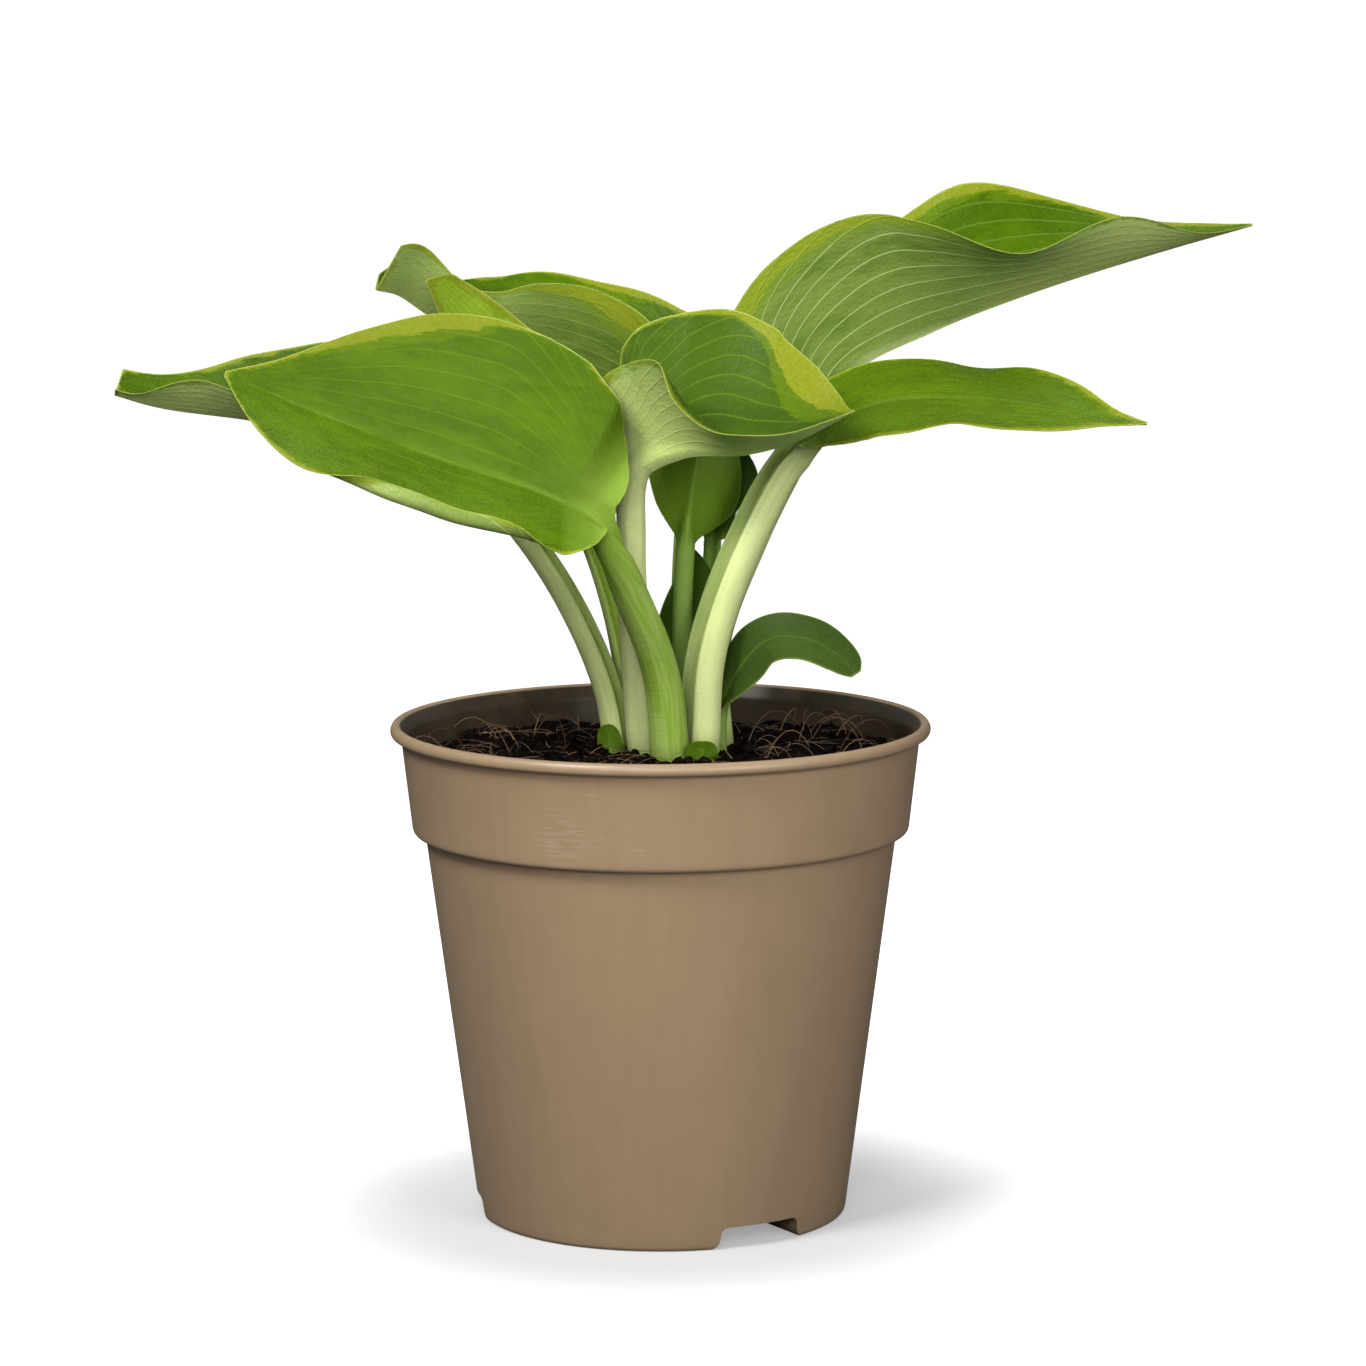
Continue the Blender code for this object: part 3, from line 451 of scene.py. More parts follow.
# %% The grown leaves on the left
GROWN = {
    "front_left": leaf(
        [(4, -3, 143), (1, -7, 172), (-8, -17, 198), (-19, -26, 222)],
        [(-36, -29, 232), (-66, -34, 243), (-100, -42, 257), (-131, -50, 271)],
        [(.6, .6, .3), (.6, .6, .3), (.5, .5, .4), (.5, .3, .6), (.2, -.5, .7)],
        [(-.2, -.8, .6), (.1, -.8, .6), (.2, -.75, .6), (.2, -.75, .6)],
        (30, 48), lobe=(5, 3), fold_left=(25, 20, 15, 10), fold_right=(14, 18, 20, 15),
        roll_left=(-20, 10, 25, 0), base=5.5, neck=5.0, stalk_thick=7.0,
        left=(.10, .42, .69, .87, 1.0, 1.12, 1.20, 1.24, 1.14, .92, .58, .27, .02),
        right=(.12, .44, .68, .86, .96, .99, .97, .84, .63, .40, .20, .09, .02),
        lips=((0, .42, .26, 6.0, 125),),
        gold_left=(.6, .5, .2, .1, .1, .2, 1, 2.8, 2.8, 1.5, .6),
        gold_right=(.5, .5, .6, 1, 3, 5.5, 6, 4.5, 2.5, 1.2, .6), age=-0.06, pale=0.08),
    "far_left": leaf(
        [(-12, 11, 143), (-16.5, 15, 166), (-29.5, 22, 194), (-46, 28, 217)],
        [(-62, 33, 232), (-100, 38, 243), (-131, 42, 248), (-160, 44, 252), (-174, 44, 256)],
        [(.8, -.4, .3), (.6, -.3, .7)],
        [(.1, -.1, 1), (.1, -.2, 1), (0, -.3, 1), (0, -.3, 1)],
        (26, 34), lobe=(4, 6), fold_left=(30, 30, 45, 60), fold_right=(60, 58, 45, 40),
        base=4.5, neck=4.0, stalk_thick=5.5,
        left=(.10, .42, .69, .87, .96, 1.0, .96, .84, .70, .60, .50, .35, .30),
        right=(.10, .42, .69, .87, .96, 1.0, .96, .84, .65, .46, .34, .30, .28),
        waves=((0, .78, .08, 3.5), (0, .97, .08, -4)),
        gold_left=(.6, .6, .8, .8, .8, .8, .8, 1, 1, 1, .8),
        gold_right=(.3, .3, .3, .3, .4, .5, .8, 1.5, 1.2, .8, .5), age=0.15, pale=0.8,
        bloom=1.2),
    "back_left": leaf(
        [(8, 34, 143), (7, 41, 177), (8, 51, 208), (11, 61, 236)],
        [(2, 68, 248), (-19, 74, 257), (-38, 76, 264), (-57, 74, 270), (-74, 68, 279),
         (-84, 64, 286), (-91, 60, 288)],
        [(-.1, -.9, .4), (-.1, -.8, .5)],
        [(-.3, -.2, 1), (0, 0, 1), (.2, 0, 1), (.5, -.2, .8)],
        (32, 34), lobe=(6, 6), fold_left=(55, 65, 60, 80), fold_right=(50, 60, 65, 65),
        base=3.6, neck=3.2, stalk_thick=4.0,
        left=(.10, .42, .69, .87, .96, 1.0, .96, .84, .62, .50, .56, .64, .58),
        right=(.10, .42, .69, .87, .96, 1.0, .96, .84, .62, .42, .34, .26, .15),
        gold_left=(3, 6, 8, 8, 6, 3, 1.5, 1, 1, 1, .8),
        gold_right=(.5, .5, 1, 2.5, 2.5, 1, .5, .5, .5, .5, .5), age=0.05, pale=0.5,
        bloom=0.45),
    "mid_left": leaf(
        [(-6, 21, 143), (-10, 29, 163), (-15, 39, 187), (-24, 50, 212)],
        [(-39, 59, 238), (-53, 58, 260), (-64, 52, 278), (-74, 43, 292)],
        [(.5, -.7, .3), (.3, -.8, .4)],
        [(-.1, -.9, .4), (0, -.9, .4), (0, -.9, .4)],
        (18, 22), lobe=(5, 5), fold_left=(15, 15), fold_right=(5, 5), base=4.4, neck=4.0,
        stalk_thick=4.0, rows=(26, 80),
        right=(.10, .42, .69, .87, .96, 1.0, 1.0, .90, .74, .57, .43, .31, .02),
        gold_left=(.8, .8, .8, .8, 1, 1, 1, 1, 1.2, 1.5, 1.2),
        gold_right=(.8, .8, .8, .8, 1, 1, 1.2, 1.5, 2, 2.5, 2), age=-0.9, pale=0.3),
}
print("on the left:", list(GROWN))

# %% [markdown]
# The cupped leaf in the middle shows its waxy back and the broadest yellow band.  The two on the
# right reach out, one high and waved, one lower and nearly flat.

# %% The grown leaves in the middle and on the right
GROWN.update({
    "centre": leaf(
        [(-5, 8, 143), (-8, 6, 182), (-9, 0, 214), (-7, -4, 236)],
        [(6, -12, 242), (26, -30, 244), (42, -45, 250), (58, -60, 260)],
        [(.2, .9, .1), (-.3, .6, .6)],
        [(-.2, .2, 1), (0, .1, 1), (0, 0, 1), (0, 0, 1)],
        (48, 40), lobe=(13, 12), fold_left=(75, 65, 45, 20), fold_right=(72, 48, 12, -5),
        base=4.8, neck=4.2, stalk_thick=5.5,
        left=(.10, .50, .82, .96, 1, .97, .90, .78, .62, .42, .21, .09, .02),
        right=(.10, .40, .64, .78, .86, .92, .90, .78, .62, .42, .21, .09, .02),
        gold_left=(1, 1, 1.2, 2, 5, 9, 13, 13, 9, 4, 1.5),
        gold_right=(1, 1, 1.5, 2, 2.5, 2.5, 2, 1.5, 1.2, 1, .8), age=0.40, pale=1.0,
        bloom=1.75),
    "top_right": leaf(
        [(18, 20, 143), (17, 26, 176), (30, 34, 210), (45, 42, 238)],
        [(59, 48, 261), (87, 57, 274), (123, 64, 287), (159, 68, 298), (192, 72, 307)],
        [(-.8, -.5, .3), (-.7, -.4, .6)],
        [(-.3, .2, 1), (-.2, .1, 1), (-.1, 0, 1), (0, 0, 1)],
        (42, 48), lobe=(6, 6), fold_left=(60, 50, 40, 30), fold_right=(75, 55, 30, 10),
        base=3.8, neck=4.0, stalk_thick=5.5,
        right=(.10, .43, .72, .93, 1.03, 1.03, .96, .84, .65, .42, .21, .09, .02),
        waves=((1, .51, .13, -12), (1, .75, .10, 6), (0, .54, .15, 12)),
        gold_left=(2, 2, 2, 2.5, 3, 3, 2, 1.5, 2, 1.5, .8),
        gold_right=(7, 6.5, 5, 3, 1.5, 1, .8, .8, .8, .8, .6), age=0.05, pale=0.8,
        bloom=0.85),
    "right": leaf(
        [(11, 3, 143), (14, 6, 178), (27, 14, 213), (43, 19, 239)],
        [(66, 17, 254), (94, 12, 257), (125, 5, 254), (152, -1, 250)],
        [(-.8, -.4, .4), (-.7, -.4, .6)],
        [(0, -.3, 1), (0, -.35, 1), (0, -.4, 1), (0, -.4, 1)],
        (28, 30), lobe=(6, 0), fold_left=(5, 5), fold_right=(15, 0, 0, 0), base=5.5,
        neck=5.9, stalk_thick=7.5,
        left=(.10, .42, .69, .87, .96, 1.0, .96, .84, .65, .36, .15, .06, .02),
        waves=((0, .50, .12, -4), (0, .78, .12, 3), (1, .12, .10, -2.5), (1, .50, .15, 5)),
        gold_left=(.6, .6, .8, .8, .8, .8, .8, 1, 1.5, 2, .8),
        gold_right=(1, 1.5, 2, 2, 1.5, 1.5, 1.5, 2, 2.5, 2, .8), age=-0.1, pale=1.0),
})
print(len(GROWN), "grown leaves")

# %% [markdown]
# Four young leaves stand among the stalks: two cupped ones, one that is still unrolling and one
# that arches low over the rim.  They are darker and bluer, with hardly any yellow yet.  Three
# thin scales, the first wrapping of each shoot, stay at the foot of the stalks.

# %% The young leaves and the scales
YOUNG = {
    "young_upright": leaf(
        [(7, 17, 143), (7, 19, 180), (8, 20, 208)],
        [(10, 24, 226), (13, 31, 244), (15, 38, 258)],
        [(0, 1, 0), (0, 1, 0)], [(0, 1, 0), (0, 1, 0), (0, .9, .3)],
        (18, 17), fold_left=(30, 30), fold_right=(30, 30), neck=2.6, base=3.0,
        left=(.05, .12, .28, .55, .80, .95, 1, .95, .80, .55, .30, .15, .05),
        right=(.05, .10, .22, .42, .62, .80, .95, 1, .90, .65, .35, .15, .05), age=-0.05,
        **SMALL),
    "young_back": leaf(
        [(15, 30, 143), (15, 36, 184), (17, 41, 208)],
        [(18, 45, 224), (20, 48, 236), (24, 50, 246)],
        [(-.2, -1, .2), (-.2, -1, .2)], [(-.3, -1, .2), (0, -1, .3), (0, -.9, .4)],
        (14, 13), fold_left=(15, 15), fold_right=(5, 5), neck=2.6, base=2.8,
        stalk_thick=3.0, left=SPOON, age=0.5,
        right=(.15, .35, .55, .60, .55, .75, 1.0, 1.0, .85, .6, .35, .2, .05), **SMALL),
    "unfurling": leaf(
        [(6, 24, 143), (6, 28, 165)], [(6, 33, 180), (8, 36, 193), (11, 38, 206)],
        [(-.2, -1, .2), (-.2, -1, .2)], [(-.3, -1, .2), (0, -1, .3), (0, -.9, .4)],
        (8, 11), fold_left=(30, 30), fold_right=(20, 20), neck=3.0, base=3.0,
        right=(.1, .2, .3, .38, .45, .55, .75, .95, 1, .9, .6, .3, .05),
        stalk_thick=3.0, age=0.4, **SMALL),
    "low_right": leaf(
        [(18, 12, 143), (19, 12, 158)],
        [(25, 8, 172), (34, 2, 182), (46, -4, 183), (56, -9, 178), (61, -12, 173)],
        [(-.8, -.4, .3), (-.8, -.5, .3)],
        [(-.7, -.6, .3), (-.2, -.8, .6), (.2, -.8, .6), (.4, -.8, .5)],
        (9, 9), fold_left=(0, 0), fold_right=(0, 0), neck=3.2, base=3.0, stalk_thick=3.0,
        left=(.3, .4, .55, .75, .9, 1, 1, .98, .94, .86, .70, .52, .25),
        right=(.3, .4, .55, .75, .9, 1, 1, .98, .94, .86, .70, .52, .25), age=0.75, **SMALL),
}
SCALE = dict(rows=(6, 20), half_columns=8, stalk_thick=1.2, fold_left=(15, 15),
             fold_right=(15, 15), slot="basal_scale", ruffle=0.0, age=0.2, pale=0.2, bloom=0.0,
             rim=0.0, gold_left=(-5, -5), gold_right=(-5, -5), left=BLUNT, right=BLUNT)
SCALES = {
    "middle": leaf([(0, 14, 143), (-1, 14, 150)], [(-3, 13.5, 158), (-5, 13, 168), (-7, 13, 178)],
                   [(-.4, .8, 0), (-.4, .8, 0)], [(-.4, .8, 0), (-.4, .8, 0)], (3, 3),
                   neck=3.0, base=3.0, **SCALE),
    "front": leaf([(13, -12, 143), (13, -12, 146)],
                  [(13, -12, 148), (13, -12, 150), (13, -12.5, 152)],
                  [(0, 1, 0), (0, 1, 0)], [(0, 1, 0), (0, 1, 0)], (5, 5), neck=5.0, base=5.0,
                  **SCALE),
    "left": leaf([(-15, 3, 143), (-15.5, 3, 146)], [(-16, 3, 149), (-16.5, 3, 152), (-17, 3, 155)],
                 [(0, 1, 0), (0, 1, 0)], [(0, 1, 0), (0, 1, 0)], (4, 4), neck=4.0, base=4.0,
                 **SCALE),
}
print(len(YOUNG), "young leaves and", len(SCALES), "scales")

# %% [markdown]
# Three pieces of arithmetic carry the growing.  The first is a curve through the midrib points.
# A centripetal Catmull-Rom curve is taken, because it doesn't overshoot where the points are
# unevenly spaced.

# %% A smooth curve through points
def unit(a):
    """The same direction, or directions, with length 1."""
    return a / np.maximum(np.linalg.norm(a, axis=-1, keepdims=True), 1e-9)


def smooth_curve(points, per_span=24):
    """A curve through the points, and the number of the curve's step at each of them."""
    p = np.asarray(points, float)
    p = np.vstack([2 * p[0] - p[1], p, 2 * p[-1] - p[-2]])
    out, marks = [], [0]
    for p0, p1, p2, p3 in zip(p, p[1:], p[2:], p[3:]):
        t1 = np.linalg.norm(p1 - p0) ** .5
        t2 = t1 + np.linalg.norm(p2 - p1) ** .5
        t3 = t2 + np.linalg.norm(p3 - p2) ** .5
        t = np.linspace(t1, t2, per_span, endpoint=False)[:, None]
        a1 = (t1 - t) / t1 * p0 + t / t1 * p1
        a2 = (t2 - t) / (t2 - t1) * p1 + (t - t1) / (t2 - t1) * p2
        a3 = (t3 - t) / (t3 - t2) * p2 + (t - t2) / (t3 - t2) * p3
        b1 = (t2 - t) / t2 * a1 + t / t2 * a2
        b2 = (t3 - t) / (t3 - t1) * a2 + (t - t1) / (t3 - t1) * a3
        out.append((t2 - t) / (t2 - t1) * b1 + (t - t1) / (t2 - t1) * b2)
        marks.append(marks[-1] + per_span)
    out.append(p[-2:-1])
    return np.vstack(out), marks


print("four points give a curve of", len(smooth_curve(GROWN["right"]["blade"])[0]), "points")

# %% [markdown]
# The second is a smooth reading of a list, which gives the angles between the few that are
# written down.  The third follows a strip that turns as it leaves the midrib, and says how far
# across and up its end lies.

# %% Smooth readings and turning strips
def along_list(values, share):
    """A list of numbers or directions, read smoothly at a share of the way along it."""
    v = np.asarray(values, float)
    last = len(v) - 1
    t = min(max(share, 0), 1) * last
    i = min(int(t), last - 1)
    f = t - i
    p0, p1, p2, p3 = (v[min(max(k, 0), last)] for k in (i - 1, i, i + 1, i + 2))
    return .5 * (2 * p1 + (p2 - p0) * f + (2 * p0 - 5 * p1 + 4 * p2 - p3) * f * f
                 + (3 * p1 - p0 - 3 * p2 + p3) * f ** 3)


def smooth_outline(shares, u):
    """The half-outline read as a smooth curve through its uneven stations."""
    x, y = np.asarray(OUTLINE_AT, float), np.asarray(shares, float)
    slope = np.gradient(y, x)
    i = min(max(int(np.searchsorted(x, u, side="right")) - 1, 0), len(x) - 2)
    h, t = x[i + 1] - x[i], (u - x[i]) / (x[i + 1] - x[i])
    return ((2 * t ** 3 - 3 * t ** 2 + 1) * y[i] + (t ** 3 - 2 * t ** 2 + t) * h * slope[i]
            + (3 * t ** 2 - 2 * t ** 3) * y[i + 1] + (t ** 3 - t ** 2) * h * slope[i + 1])


def section(reach, angles):
    """How far across and up a strip ends that turns through these angles as it goes."""
    middle, step = (angles[1:] + angles[:-1]) / 2, np.diff(reach)
    return np.sum(np.cos(middle) * step), np.sum(np.sin(middle) * step)


print("a heart is widest", round(max(smooth_outline(HEART, u) for u in np.linspace(0, 1, 50)), 2),
      "of its half-width")

# %% [markdown]
# The rows stand along the midrib, first up the stalk and then out along the blade.  So the curve
# is read by how far one has walked along it, which also gives the two lengths.

# %% The midrib's run
def midrib_run(facts):
    """Place and heading by millimetres walked, the stalk's length and the blade's length."""
    curve, marks = smooth_curve(facts["stalk"] + facts["blade"])
    walked = np.r_[0, np.cumsum(np.linalg.norm(np.diff(curve, axis=0), axis=1))]
    joint = walked[marks[len(facts["stalk"]) - 1]]
    heading = unit(np.gradient(curve, walked, axis=0))

    def spot(s):
        return np.array([np.interp(s, walked, curve[:, k]) for k in range(3)])

    def direction(s):
        return unit(np.array([np.interp(s, walked, heading[:, k]) for k in range(3)]))

    return spot, direction, joint, walked[-1] - joint


lengths = {name: midrib_run(facts)[2:] for name, facts in GROWN.items()}
print("stalk and blade, mm:", {name: [round(float(part)) for part in pair]
                               for name, pair in lengths.items()})

# %% [markdown]
# The rows themselves, first for the stalk.  It is a gutter: its walls start low beside the
# midrib and turn up steeply, and its round back is the thickness under them.  It is widest at
# the foot, where it clasps the crown.  Each point also records what the material will ask for:
# millimetres across and along, the share of the way along, how far off the margin is, and how
# far the yellow band reaches past it, which on a stalk is never.

# %% The rows of a stalk
GUTTER_START, GUTTER_RISE = math.radians(25), math.radians(50)
NO_BAND = -9


def square_to(facing, ahead):
    """The facing direction, made square to the way the midrib heads."""
    return unit(facing - (facing @ ahead) * ahead)


def stalk_row(facts, share, sides, run):
    """Points, thickness and records of one row, at a share of the way up the stalk."""
    spot, direction, joint = run[:3]
    base, neck = facts["base"], facts["neck"]
    ahead = direction(share * joint)
    face = square_to(along_list(facts["stalk_face"], share), ahead)
    across = np.cross(ahead, face)
    half = neck + (base - neck) * max(0, 1 - share / .4) ** 2
    row, known = [], []
    for side in sides:
        reach = np.linspace(0, abs(side) * half, 9)
        x, z = section(reach, GUTTER_START + GUTTER_RISE * (reach / half) ** 1.5)
        row.append(spot(share * joint) + across * np.sign(side) * x + face * z)
        known.append((side * half, share * joint, share - 1, (1 - abs(side)) * half, NO_BAND))
    round_back = facts["stalk_thick"] * (1 - .2 * share) - facts["blade_thick"]
    thick = facts["blade_thick"] + round_back * (1 - np.abs(sides) ** 2.2)
    return row, thick, known


both_sides = np.array((-1.0, 1.0))
foot = stalk_row(GROWN["right"], 0, both_sides, midrib_run(GROWN["right"]))[0]
print("the right stalk clasps", round(float(np.linalg.norm(foot[1] - foot[0])), 1), "mm")

# %% [markdown]
# What bends the blade.  Its section leaves the midrib at the fold angle and rolls on from there,
# and a lip turns a strip of the margin right over.  The stalk's gutter fades out over the first
# third.

# %% The fold of a blade and the gutter it starts with
SIDE_NAMES, GUTTER_FADES_BY = ("left", "right"), .30


def section_angles(facts, h, u, reach, half):
    """How steeply the blade rises at each reach: its fold, its roll and any lip."""
    fold = math.radians(along_list(facts["fold_" + SIDE_NAMES[h]], u))
    roll = math.radians(along_list(facts["roll_" + SIDE_NAMES[h]], u))
    angles = fold + roll * (reach / half) ** 1.5
    for lip_side, lip_at, lip_long, depth, turn in facts["lips"]:
        if lip_side == h:
            into = np.clip(1.8 * (reach - half + depth) / depth, 0, 1)
            angles += math.radians(turn) * into * math.exp(-((u - lip_at) / lip_long) ** 4)
    return angles


def gutter_hold(u, reach, neck):
    """How strongly the stalk's gutter still shapes the blade at each reach."""
    hold = max(0, 1 - u / GUTTER_FADES_BY) ** 2 * np.exp(-(reach / (1.5 * neck)) ** 2)
    return hold + (1 - hold) * max(0, 1 - u / .03) * .9


edge_on = section_angles(GROWN["centre"], 0, .2, np.array((0.0, 1.0)), 1)
print("the centre leaf's left half rises at", round(math.degrees(edge_on[0])), "degrees")

# %% [markdown]
# What lifts it.  Broad waves and a small ruffle lift the margin.  Veins are real grooves as well
# as lines of colour: they run out from the stalk like a fan, so near it they lie closer
# together, and the surface sinks a little at each one.  Under the blade stands the rib.

# %% The relief and thickness of a blade
RIB_FADES_BY, GROOVE_DEPTH = .45, .14


def fan(u):
    """How much closer together the veins run, near the stalk, than along the blade."""
    return 1 + 1.4 * max(0, 1 - max(u, 0) / .35) ** 2


def relief(facts, h, side, u, half, length):
    """How far waves, the ruffle and the vein grooves lift a point."""
    lift = 0
    for wave_side, wave_at, wave_long, height in facts["waves"]:
        if wave_side == h:
            lift += height * math.exp(-((u - wave_at) / wave_long) ** 2) * side * side
    ends = min(1, u / .15) * min(1, (1 - u) / .1)
    swing = math.sin(23 * u + 4 * h + length) * math.cos(9 * u + length)
    lift += facts["ruffle"] * abs(side) ** 4 * ends * swing
    vein = abs(side) * fan(u) * VEINS_A_SIDE
    off_vein = 2 * abs(vein - round(vein))
    return lift + GROOVE_DEPTH * off_vein ** .7 * min(1, half / 14) * min(1, u / .1)


def blade_thickness(facts, side, u, half):
    """Thin at the margin, and thick along the rib, which fades out towards the tip."""
    rib = (facts["stalk_thick"] * .8 - facts["blade_thick"]) * max(0, 1 - u / RIB_FADES_BY) ** 2
    rib_half = 1.0 + facts["neck"] * .6 * max(0, 1 - u / .4)
    return (facts["blade_thick"] * (1 - .5 * abs(side) ** 6)
            + max(0, rib) * math.exp(-(abs(side) * half / rib_half) ** 2))


print("veins at the stalk lie", round(fan(0), 1), "times as close as along the blade")

# %% [markdown]
# Now the blade's rows.  Just past the joint, each row bends back at its ends, so that two lobes
# reach back past the stalk, which gives the heart shape.

# %% The rows of a blade
LOBE_AT = .06


def blade_row(facts, u, sides, run):
    """Points, thickness and records of one row, at a share u of the way to the tip."""
    spot, direction, joint, length = run
    settle = min(1, u / .10)
    facing = (along_list(facts["stalk_face"], 1) * (1 - settle)
              + along_list(facts["blade_face"], u) * settle)
    start = spot(joint)
    leaving = unit(spot(joint + .1 * length) - start)
    lobe_share = (u / LOBE_AT) * math.exp(1 - u / LOBE_AT)
    row, thick, known = [], [], []
    for side in sides:
        h = 0 if side < 0 else 1
        name = SIDE_NAMES[h]
        outline = facts["half_width"][h] * max(.02, smooth_outline(facts[name], u))
        half = math.hypot(outline, facts["neck"] * max(0, 1 - u / .2))
        reached = length * u - facts["lobe"][h] * lobe_share * abs(side) ** 1.7
        centre = spot(joint + reached) if reached >= 0 else start + leaving * reached
        past_lobe = min(1, u / LOBE_AT)
        ahead = unit(direction(joint + max(reached, 0)) * (1 - past_lobe)
                     + direction(joint + max(reached, .08 * length)) * past_lobe)
        face = square_to(facing, ahead)
        across = np.cross(ahead, face)
        reach = np.linspace(0, abs(side) * half, 24) + 1e-9
        gutter = GUTTER_START + GUTTER_RISE * np.minimum(1, reach / facts["neck"]) ** 1.5
        hold = gutter_hold(u, reach, facts["neck"])
        angles = section_angles(facts, h, u, reach, half)
        x, z = section(reach, angles * (1 - hold) + gutter * hold)
        z += relief(facts, h, side, u, half, length)
        row.append(centre + across * np.sign(side) * x + face * z)
        thick.append(blade_thickness(facts, side, u, half))
        edge = min((1 - abs(side)) * half, (1 - u) * length)
        band = along_list(facts["gold_" + name], u)
        known.append((side * half, joint + reached, u, edge, band - edge))
    return row, np.array(thick), known


widest = blade_row(GROWN["right"], .33, both_sides, midrib_run(GROWN["right"]))[0]
print("the right blade is", round(float(np.linalg.norm(widest[1] - widest[0])), 1), "mm wide")

# %% [markdown]
# A whole leaf is the stalk's rows and then the blade's.  The blade's rows start closer together,
# where the lobes are, and spread out towards the tip.

# %% All the rows of a leaf
def leaf_rows(facts):
    """Points of the upper face, the thickness at each, and what the material needs to know."""
    run = midrib_run(facts)
    sides = np.linspace(-1, 1, 2 * facts["half_columns"] + 1)
    stalk_rows, blade_rows = facts["rows"]
    made = [stalk_row(facts, share, sides, run)
            for share in np.linspace(0, 1, stalk_rows, endpoint=False)]
    made += [blade_row(facts, u, sides, run)
             for u in np.linspace(0, 1, blade_rows + 1) ** 1.15]
    rows, thick, known = zip(*made)
    return np.array(rows), np.array(thick), np.vstack(known), sides


print("rows a grown leaf:", sum(GROWN["right"]["rows"]) + 1)

# %% [markdown]
# From rows to a closed skin.  There is an upper and an under face with the same rows, and a
# narrow strip closes the margin all the way round, so the leaf has real thickness.

# %% The faces of a leaf's skin
def skin_faces(n_rows, n_columns):
    """The upper face, the under face and the strip round the margin, as quads."""
    count, last = n_rows * n_columns, n_columns - 1

    def corner(i, j, side=0):
        return side * count + i * n_columns + j

    faces = []
    for i in range(n_rows - 1):
        for j in range(last):
            faces.append((corner(i, j), corner(i + 1, j), corner(i + 1, j + 1), corner(i, j + 1)))
            faces.append((corner(i, j, 1), corner(i, j + 1, 1), corner(i + 1, j + 1, 1),
                          corner(i + 1, j, 1)))
        faces.append((corner(i, 0), corner(i, 0, 1), corner(i + 1, 0, 1), corner(i + 1, 0)))
        faces.append((corner(i, last), corner(i + 1, last), corner(i + 1, last, 1),
                      corner(i, last, 1)))
    tip = n_rows - 1
    for j in range(last):
        faces.append((corner(0, j), corner(0, j + 1), corner(0, j + 1, 1), corner(0, j, 1)))
        faces.append((corner(tip, j), corner(tip, j, 1), corner(tip, j + 1, 1),
                      corner(tip, j + 1)))
    return faces


print("a small leaf's skin:", len(skin_faces(sum(SMALL["rows"]) + 1,
                                             2 * SMALL["half_columns"] + 1)), "quads")

# %% [markdown]
# Every leaf and scale is grown by the same function.  The under face is the upper one moved back
# along its normal by the thickness.  The foot is level and stands a hair above the crown.  Each
# leaf gets a number, which shifts its noise, so that no two leaves have the same blotches.

# %% Grow every leaf
CROWN_GAP = .3


def grow_leaf(name, node, facts, number):
    """A whole leaf or scale, which takes the place of one node of the solid model."""
    upper, thick, known, sides = leaf_rows(facts)
    normal = unit(np.cross(np.gradient(upper, axis=1), np.gradient(upper, axis=0)))
    below = upper - normal * thick[..., None]
    upper[0, :, 2] = below[0, :, 2] = facts["stalk"][0][2] + CROWN_GAP
    n_rows, n_columns = upper.shape[:2]
    count = n_rows * n_columns
    points = np.vstack([upper.reshape(-1, 3), below.reshape(-1, 3)])
    piece = make_piece(name, points, skin_faces(n_rows, n_columns), leaf_material, 60)
    both = np.vstack([known, known])
    is_under = np.repeat([0.0, 1.0], count)
    share = np.tile(sides, 2 * n_rows) * [fan(u) for u in both[:, 2]]
    mark(piece, "leaf_place", np.c_[both[:, 0], both[:, 1], is_under * 40 + number * 100])
    mark(piece, "leaf_facts", np.c_[share, both[:, 2], is_under])
    mark(piece, "leaf_margin", np.c_[both[:, 3], both[:, 4], np.full(2 * count, facts["rim"])])
    mark(piece, "leaf_tone", np.tile((facts["age"], facts["pale"], facts["bloom"]),
                                     (2 * count, 1)))
    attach(piece, "root")
    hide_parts(node)
    return piece


leaves = {}
for kind, group in (("leaf", GROWN), ("leaf", YOUNG), ("basal_scale", SCALES)):
    for name, facts in group.items():
        piece = grow_leaf(f"hosta_{kind}_{name}", f"{kind}_{name}", facts, len(leaves))
        leaves[piece.name] = piece
print("leaves:", {name: len(piece.data.polygons) for name, piece in leaves.items()})

# %% [markdown]
# ## The nursery pot
# It is injection-moulded in one piece: a tapered body, a deep collar that lets pots stack, a
# rolled rim, and three drainage channels across the foot.  These are its sizes, with the inner
# surface as a function of height, because the mix and the fibres need it too.

# %% The pot's sizes
POT_HEIGHT, RIM_RADIUS = 156.5, 85.0
COLLAR_TOP_RADIUS, COLLAR_FOOT_RADIUS, COLLAR_FOOT_Z = 81.5, 78.4, 122.2
BODY_TOP_RADIUS, FOOT_RADIUS, WALL, FLOOR = 74.2, 58.1, 1.4, 1.6
CHANNEL_ANGLES = (31.7, 151.7, 271.7)
CHANNEL_HALF, CHANNEL_HEIGHT, CHANNEL_INNER = 14.0, 7.0, 28.0
DRAIN_RADIUS, DRAIN_PLACES = 4.0, (36.0, 48.0)
SOIL_LEVEL = 143.5


def inner_radius(z):
    """How far the inner surface is from the axis at a height."""
    if z < COLLAR_FOOT_Z + 2.0:
        return FOOT_RADIUS - WALL + (BODY_TOP_RADIUS - FOOT_RADIUS) * z / COLLAR_FOOT_Z
    share = (z - COLLAR_FOOT_Z) / (POT_HEIGHT - COLLAR_FOOT_Z)
    return COLLAR_FOOT_RADIUS - WALL + (COLLAR_TOP_RADIUS - COLLAR_FOOT_RADIUS) * share


